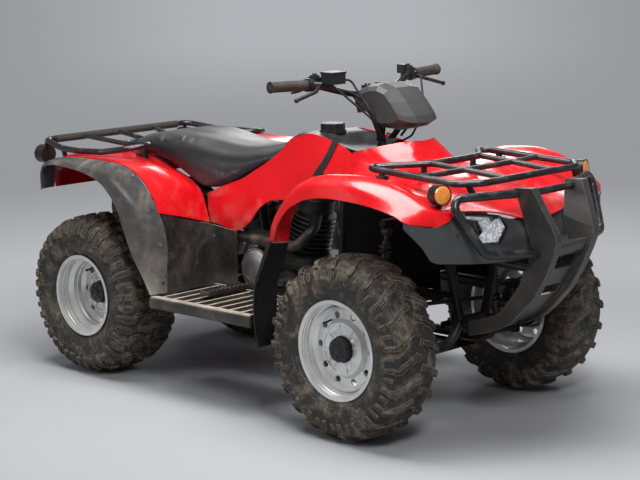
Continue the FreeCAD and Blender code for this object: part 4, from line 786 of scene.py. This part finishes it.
def seen(px, py, names):
    """Where the camera's line through a point of the picture first meets a node, and how it faces there."""
    start = camera.matrix_world.translation
    across, upward = (px - PICTURE[0] / 2) / FOCAL, (PICTURE[1] / 2 - py) / FOCAL
    way = (look + right * across + up * upward).normalized()
    nearest = None
    for name in names:
        node = nodes[name]
        back = node.matrix_world.inverted()
        hit, place, normal, _ = node.ray_cast(back @ start, (back.to_3x3() @ way).normalized())
        if hit:
            place = node.matrix_world @ place
            reach = (place - start).length
            if nearest is None or reach < nearest[0]:
                nearest = (reach, place, (node.matrix_world.to_3x3() @ normal).normalized())
    return nearest[1:] if nearest else None


class Trim:
    """Many small parts gathered into one mesh."""

    def __init__(self):
        self.points, self.faces = [], []

    def add(self, points, faces):
        first = len(self.points)
        self.points += points
        self.faces += [tuple(first + i for i in face) for face in faces]

    def turned(self, centre, axis, profile, sides=24, closed=False):
        """A profile of (distance along the axis, radius) pairs turned about it, as a solid or as a closed ring."""
        axis = axis.normalized()
        one = axis.orthogonal().normalized()
        two = axis.cross(one)
        points, faces = [], []
        for along, radius in profile:
            for i in range(sides):
                angle = 2 * math.pi * i / sides
                out = one * math.cos(angle) + two * math.sin(angle)
                points.append(centre + axis * (along / 1000) + out * (radius / 1000))
        count = len(profile)
        for j in range(count if closed else count - 1):
            for i in range(sides):
                a, b = j * sides, (j + 1) % count * sides
                k = (i + 1) % sides
                faces.append((a + i, a + k, b + k, b + i))
        if not closed:
            faces.append(tuple(reversed(range(sides))))
            faces.append(tuple((count - 1) * sides + i for i in range(sides)))
        self.add(points, faces)

    def rod(self, start, end, radius):
        self.turned(start, end - start, [(0, radius), ((end - start).length * 1000, radius)], 12)

    def bolt(self, place, normal, radius=5.0, height=3.5):
        """A hexagon head on a washer."""
        self.turned(place, normal, [(-1, radius * 1.45), (0.9, radius * 1.45), (1.1, radius * 1.3)], 16)
        self.turned(place, normal, [(0.5, radius), (height - 0.6, radius), (height, radius * 0.8)], 6)

    def block(self, centre, along, across, out, sizes):
        """A box with its edges along three directions, its sizes in millimetres."""
        half = [axis.normalized() * (size / 2000) for axis, size in zip((along, across, out), sizes)]
        points = []
        for i in (-1, 1):
            for j in (-1, 1):
                for k in (-1, 1):
                    points.append(centre + half[0] * i + half[1] * j + half[2] * k)
        self.add(points, [(0, 1, 3, 2), (4, 6, 7, 5), (0, 4, 5, 1), (2, 3, 7, 6), (0, 2, 6, 4), (1, 5, 7, 3)])

    def hose(self, route, radius, sides=10, steps=8):
        """A round hose along a smooth line through the route's points, with steps between each two of them."""
        line = []
        ends = [route[0] * 2 - route[1]] + route + [route[-1] * 2 - route[-2]]
        for i in range(1, len(ends) - 2):
            a, b, c, d = ends[i - 1:i + 3]
            for step in range(steps):
                t = step / steps
                line.append(0.5 * (2 * b + (c - a) * t + (2 * a - 5 * b + 4 * c - d) * t * t
                                   + (3 * b - a - 3 * c + d) * t ** 3))
        line.append(route[-1])
        points, faces = [], []
        normal = (line[1] - line[0]).orthogonal().normalized()
        for i, place in enumerate(line):
            way = (line[min(i + 1, len(line) - 1)] - line[max(i - 1, 0)]).normalized()
            normal = (normal - way * normal.dot(way)).normalized()
            side = way.cross(normal)
            for j in range(sides):
                turn = 2 * math.pi * j / sides
                points.append(place + (normal * math.cos(turn) + side * math.sin(turn)) * (radius / 1000))
        for i in range(len(line) - 1):
            for j in range(sides):
                k = (j + 1) % sides
                faces.append((i * sides + j, i * sides + k, (i + 1) * sides + k, (i + 1) * sides + j))
        faces.append(tuple(reversed(range(sides))))
        faces.append(tuple((len(line) - 1) * sides + j for j in range(sides)))
        self.add(points, faces)

    def finish(self, name, material, body, slot, angle=35):
        thing = piece(name, mesh_of(name, self.points, self.faces), material, body, angle=angle)
        return thing


def around(turn):
    """Two directions across a wheel's axle: one out to the turn's place, and one along the rim there."""
    return Vector((math.cos(turn), 0, math.sin(turn))), Vector((-math.sin(turn), 0, math.cos(turn)))


def rim_trim(name, body, centre, way, disc, ring, circle, steps, cap, face):
    """Ribs, nuts and steps of one rim, and the rough cap in its middle.

    Millimetres: disc and face are the disc's and the cap's outer faces from the wheel's middle, ring, circle and
    cap are radii of the ribs' outer ring, the nuts' circle and the cap, and steps holds the barrel's beads as
    (from the middle, radius, height).
    """
    axis = LEFT * way
    bright, dark = Trim(), Trim()
    bright.turned(centre, axis, [(disc - 0.6, ring - 7), (disc + 4.2, ring - 5.5), (disc + 4.6, ring - 1.5),
                                 (disc - 0.6, ring)], 64, closed=True)
    for start, radius, height in steps:
        bright.turned(centre, axis, [(start, radius + 0.4), (start + 1.6, radius - height),
                                     (start + 5.0, radius - height), (start + 6.6, radius + 0.4)], 72, closed=True)
    for i in range(8):
        out, along = around(math.pi * i / 4 + 0.2)
        middle = centre + axis * ((disc + 1.5) / 1000) + out * ((cap + 8 + ring - 5) / 2000)
        bright.block(middle, out, along, axis, (ring - cap - 12, 6, 4.5))
    for i in range(4):
        out, along = around(math.pi * i / 2 + 0.2 + math.pi / 8)
        place = centre + axis * (disc / 1000) + out * (circle / 1000)
        bright.turned(place, axis, [(-0.5, 10.5), (1.5, 10.5), (2.2, 9)], 16)
        bright.turned(place, axis, [(1.0, 8.2), (9, 8.2), (10, 6.5)], 6)
        bright.turned(place, axis, [(8, 4.2), (14, 4.2), (15, 3.4)], 10)
    for i in range(12):
        out, along = around(math.pi * i / 6)
        dark.block(centre + axis * ((face - 8) / 1000) + out * ((cap - 0.2) / 1000), out, along, axis, (3.0, 7, 14))
    cap_top = centre + axis * ((face - 0.5) / 1000)
    for i in range(6):
        out, along = around(math.pi * i / 3 + 0.3)
        dark.turned(cap_top + out * (cap * 0.62 / 1000), axis, [(0, 5.5), (2.4, 5.0), (3.0, 3.5)], 10)
    dark.turned(cap_top, axis, [(0, 14), (3.0, 13), (4.0, 9)], 24)
    out, along = around(2.2)
    foot = centre + out * ((circle + 40) / 1000) + axis * ((disc - 12) / 1000)
    dark.rod(foot, foot + axis * 0.030 - out * 0.004, 3.4)
    dark.rod(foot + axis * 0.029 - out * 0.004, foot + axis * 0.038 - out * 0.005, 4.4)
    bright.finish("rim_trim_" + name, RIM, body, "rim_steel")
    dark.finish("rim_cap_" + name, BLACK, body, "black_plastic")


for side, way, centre in wheel_centres("front"):
    rim_trim("front_" + side, "wheel_front_" + side, centre, way, disc=47, ring=85, circle=62,
             steps=((55, 148, 3.2), (69, 148, 2.4), (78, 148, 1.4)), cap=37, face=71)
for side, way, centre in wheel_centres("rear"):
    rim_trim("rear_" + side, "rear_wheels", centre, way, disc=15, ring=76, circle=57,
             steps=((28, 120, 3.0), (70, 134, 3.4), (84, 134, 2.6), (97, 134, 1.6)), cap=36, face=41)


# Headlights: a dark housing from the lamp's own outline, two silver bowls, bulbs and a clear cover.
# LAMP_SLOPE is how fast the cover falls back towards the side. The outline and the bowls' middles are (y, z).
LAMP_SLOPE = 0.46
LAMP_OUTLINE = [(322, 741), (200, 720), (177, 686), (196, 643), (275, 645), (304, 706)]
LAMP_BOWLS = ((216, 684, 33), (268, 690, 31))


def lamp_front(y):
    """How far forward the lamp's cover lies at a distance from the middle."""
    return 1052 - LAMP_SLOPE * (abs(y) - 180)


def lamp_faces(way):
    """The node's faces on the front of one lamp, and its other faces, as points."""
    node = nodes["headlights"]
    mesh = node.data
    ahead = Vector((1, LAMP_SLOPE * way, 0)).normalized()
    front_faces, rest = [], []
    for polygon in mesh.polygons:
        corners = [node.matrix_world @ mesh.vertices[i].co for i in polygon.vertices]
        middle = sum(corners, Vector()) / len(corners)
        if middle.y * way < 0:
            continue
        normal = (node.matrix_world.to_3x3() @ polygon.normal).normalized()
        (front_faces if normal.dot(ahead) > 0.995 else rest).append(corners)
    return front_faces, rest


def sheet(name, faces, material, thickness=0.002):
    """Faces given by their corners, joined and made thick inwards, in place of the lamps' node."""
    points, sides = [], []
    for corners in faces:
        sides.append(tuple(range(len(points), len(points) + len(corners))))
        points += corners
    mesh = mesh_of(name, points, sides)
    rework(mesh, weld)
    thing = piece(name, mesh, material, "chassis", angle=30)
    solid = thing.modifiers.new("thick", "SOLIDIFY")
    solid.thickness = thickness
    solid.offset = -1
    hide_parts("headlights")


def bowl_depth(y, z):
    """How deep the silver lies behind the cover, in millimetres."""
    depth = 13.0
    for cy, cz, radius in LAMP_BOWLS:
        share = math.hypot(y - cy, z - cz) / radius
        if share < 1:
            depth = max(depth, 13 + 32 * (1 - share * share) + 1.5)
    return depth


def inside(y, z, outline):
    """Whether a place lies in the outline."""
    within = False
    for (ay, az), (by, bz) in zip(outline, outline[1:] + outline[:1]):
        if (az > z) != (bz > z) and y < (by - ay) * (z - az) / (bz - az) + ay:
            within = not within
    return within


def build_lamp(side, way):
    front_faces, rest = lamp_faces(way)
    sheet("lamp_lens_" + side, front_faces, CLEAR)
    sheet("lamp_housing_" + side, rest, BLACK)
    step = 2.0
    columns = [174 + step * i for i in range(76)]
    rows = [640 + step * i for i in range(52)]
    index, points, faces = {}, [], []
    for y in columns:
        for z in rows:
            index[y, z] = len(points)
            points.append(at(lamp_front(y) - bowl_depth(y, z), way * y, z))
    for y, next_y in zip(columns, columns[1:]):
        for z, next_z in zip(rows, rows[1:]):
            corners = ((y, z), (next_y, z), (next_y, next_z), (y, next_z))
            if all(inside(cy, cz, LAMP_OUTLINE) for cy, cz in corners):
                faces.append(tuple(index[c] for c in corners))
    mesh = mesh_of("lamp_bowls_" + side, points, faces)
    rework(mesh, drop_loose_points, face_outwards)
    piece("lamp_bowls_" + side, mesh, MIRROR, "chassis", angle=38)
    # The bulbs take the bowls' material, with its painted glow; they are not lit.
    bulbs = Trim()
    for y, z, _ in LAMP_BOWLS:
        base = at(lamp_front(y) - 46, way * y, z)
        bulbs.turned(base, AHEAD, [(0, 9), (8, 8), (9, 5), (20, 5.5), (26, 4), (28, 1.5)], 20)
    bulbs.finish("lamp_bulbs_" + side, MIRROR, "chassis", "rim_steel")


for side, way in SIDES.items():
    build_lamp(side, way)

# Indicators, rear lamps and the stop lamp.
for side, way in SIDES.items():
    amber, hoops, ruby = Trim(), Trim(), Trim()
    facing = Vector((0.93, 0.3 * way, 0.1)).normalized()
    front_base = at(935, 351 * way, 793) + facing * 0.0138
    amber.turned(front_base, facing, [(-0.3, 28.5), (3.0, 28), (5.5, 25), (7.2, 19), (8.0, 10), (8.2, 2)], 40)
    hoops.turned(front_base, facing, [(-0.5, 28.8), (4.0, 29.0), (4.4, 31.6), (-0.5, 32.2)], 48, closed=True)
    rear_base = at(-1029.8, 345 * way, 751)
    ruby.turned(rear_base, -AHEAD, [(-0.3, 30), (2.6, 29.4), (4.6, 26), (5.6, 18), (6.0, 3)], 40)
    hoops.turned(rear_base, -AHEAD, [(-0.5, 30.2), (3.0, 30.4), (3.4, 33.4), (-0.5, 34.1)], 48, closed=True)
    amber.finish("indicator_lens_" + side, AMBER, "chassis", "lamp_amber")
    ruby.finish("rear_lens_" + side, RUBY, "chassis", "red_plastic")
    hoops.finish("lamp_rings_" + side, BLACK, "chassis", "black_plastic")
stop = Trim()
stop.block(at(-971.8, 0, 715), LEFT, TOP, AHEAD, (108, 36, 4.5))
for i in range(9):
    stop.block(at(-974.2, 0, 699 + 4 * i), LEFT, TOP, AHEAD, (100, 1.6, 1.4))
add_bevel(stop.finish("stop_lens", RUBY, "chassis", "red_plastic"), 0.001)

# A ribbed sleeve on the rear rack's last tube, and ribs on the grips.
SLEEVE_PITCH = 6.0
ribs = []
for i in range(-50, 50):
    start = SLEEVE_PITCH * i
    ribs += [(start, 12.2), (start + 0.8, 14.0), (start + 3.8, 14.0), (start + 4.6, 12.2)]
sleeve = Trim()
sleeve.turned(at(-1003, 0, 802), LEFT, ribs, 14)
sleeve.finish("rack_sleeve", GRIP, "chassis", "rubber", angle=50)


def on_grip(way, out):
    """A place on the handlebar's straight end, out from the grip's node by millimetres."""
    return at(290 - 24 * out / 168, way * (235 + out), 1076 + 3 * out / 168)


for side, way in SIDES.items():
    inner, outer = on_grip(way, 27), on_grip(way, 170)
    ribbed = Trim()
    along = outer - inner
    length = along.length * 1000
    count = int(length / 7.5)
    for i in range(1, count):
        place = length * i / count
        ribbed.turned(inner, along, [(place - 2.2, 16.3), (place - 1.6, 17.6), (place + 1.6, 17.6),
                                     (place + 2.2, 16.3)], 24, closed=True)
    ribbed.turned(inner, along, [(length - 5, 16.2), (length - 4.5, 19.5), (length - 0.4, 19.5), (length, 17)], 28)
    ribbed.finish("grip_ribs_" + side, GRIP, "steering", "rubber")

# Hoses from the handlebar down beside the stem: three a side, and one thicker one on each side of the middle.
hoses = Trim()
for way in (1, -1):
    for out, drop, near in ((118, 0, 30), (96, -10, 16), (74, -22, 42)):
        hoses.hose([at(322, way * out, 1050 + drop), at(356, way * (out - 6), 1040 + drop),
                    at(400, way * (near + 34), 985), at(418, way * (near + 16), 930),
                    at(396, way * near, 884)], 3.6)
hoses.hose([at(330, -60, 1040), at(392, -92, 1010), at(432, -86, 950), at(420, -60, 890)], 5.0)
hoses.hose([at(330, 60, 1040), at(388, 84, 1006), at(430, 80, 940), at(414, 54, 890)], 4.2)
hoses.finish("bar_hoses", HOSE, "steering", "rubber")

# Switch and throttle boxes on the bar, and the clamp in its middle.
boxes = Trim()
along_bar = Vector((-0.14, 0.99, 0)).normalized()
for way in (1, -1):
    axis = Vector((along_bar.x, along_bar.y * way, 0))
    fore = TOP.cross(axis)
    middle = at(291, way * 226, 1084)
    boxes.block(middle, axis, fore, TOP, (26, 40, 36))
    boxes.block(middle + TOP * 0.020, axis, fore, TOP, (18, 30, 8))
    boxes.turned(middle + TOP * 0.022, TOP, [(0, 8), (6, 8), (8, 6)], 14)
    boxes.block(at(338, way * 26, 1040), LEFT, AHEAD, TOP, (20, 36, 44))
    boxes.bolt(at(330, way * 26, 1062), TOP, 4.5, 6)
    boxes.bolt(at(346, way * 26, 1062), TOP, 4.5, 6)
add_bevel(boxes.finish("bar_boxes", BLACK, "steering", "black_plastic"), 0.003)

# The engine's cast side cover with its screws, and the starter.
COVER_X, COVER_Z = -70, 408
casing = Trim()
casing.turned(at(COVER_X, -159.5, COVER_Z), -LEFT,
              [(0, 74), (5, 73.5), (6, 66), (14, 60), (20, 44), (23, 24), (23.5, 6)], 48)
for i in range(7):
    turn = 2 * math.pi * i / 7 + 0.3
    casing.bolt(at(COVER_X + 70 * math.cos(turn), -164, COVER_Z + 70 * math.sin(turn)), -LEFT, 3.6, 3)
casing.finish("engine_cover", CAST, "chassis", "cast_metal")
starter = Trim()
starter.turned(at(-150, -126, 516), AHEAD, [(0, 22), (2, 25), (118, 25), (120, 22)], 24)
starter.finish("starter", SOOT, "chassis", "dark_metal")

# Bolts where the camera's line through a point of the picture meets a cover, and the same ones on the other side.
heads = Trim()
for px, py, names in ((105, 163, ["rear_flares"]), (132, 176, ["rear_flares"]), (152, 209, ["rear_flares"]),
                      (163, 283, ["rear_flares"]), (160, 245, ["rear_flares"]),
                      (165, 219, ["footwells", "rear_flares"]), (190, 229, ["footwells"]),
                      (214, 236, ["footwells"]), (167, 276, ["footwells", "rear_flares"]),
                      (412, 231, ["front_cover"]), (457, 236, ["front_cover"]), (258, 280, ["front_flaps"])):
    found = seen(px, py, names)
    if found:
        place, normal = found
        for p, n in ((place, normal), (flipped(place), flipped(normal))):
            heads.bolt(p - n * 0.0005, n, 4.6, 3.2)
heads.finish("cover_bolts", BOLT, "chassis", "dark_metal")
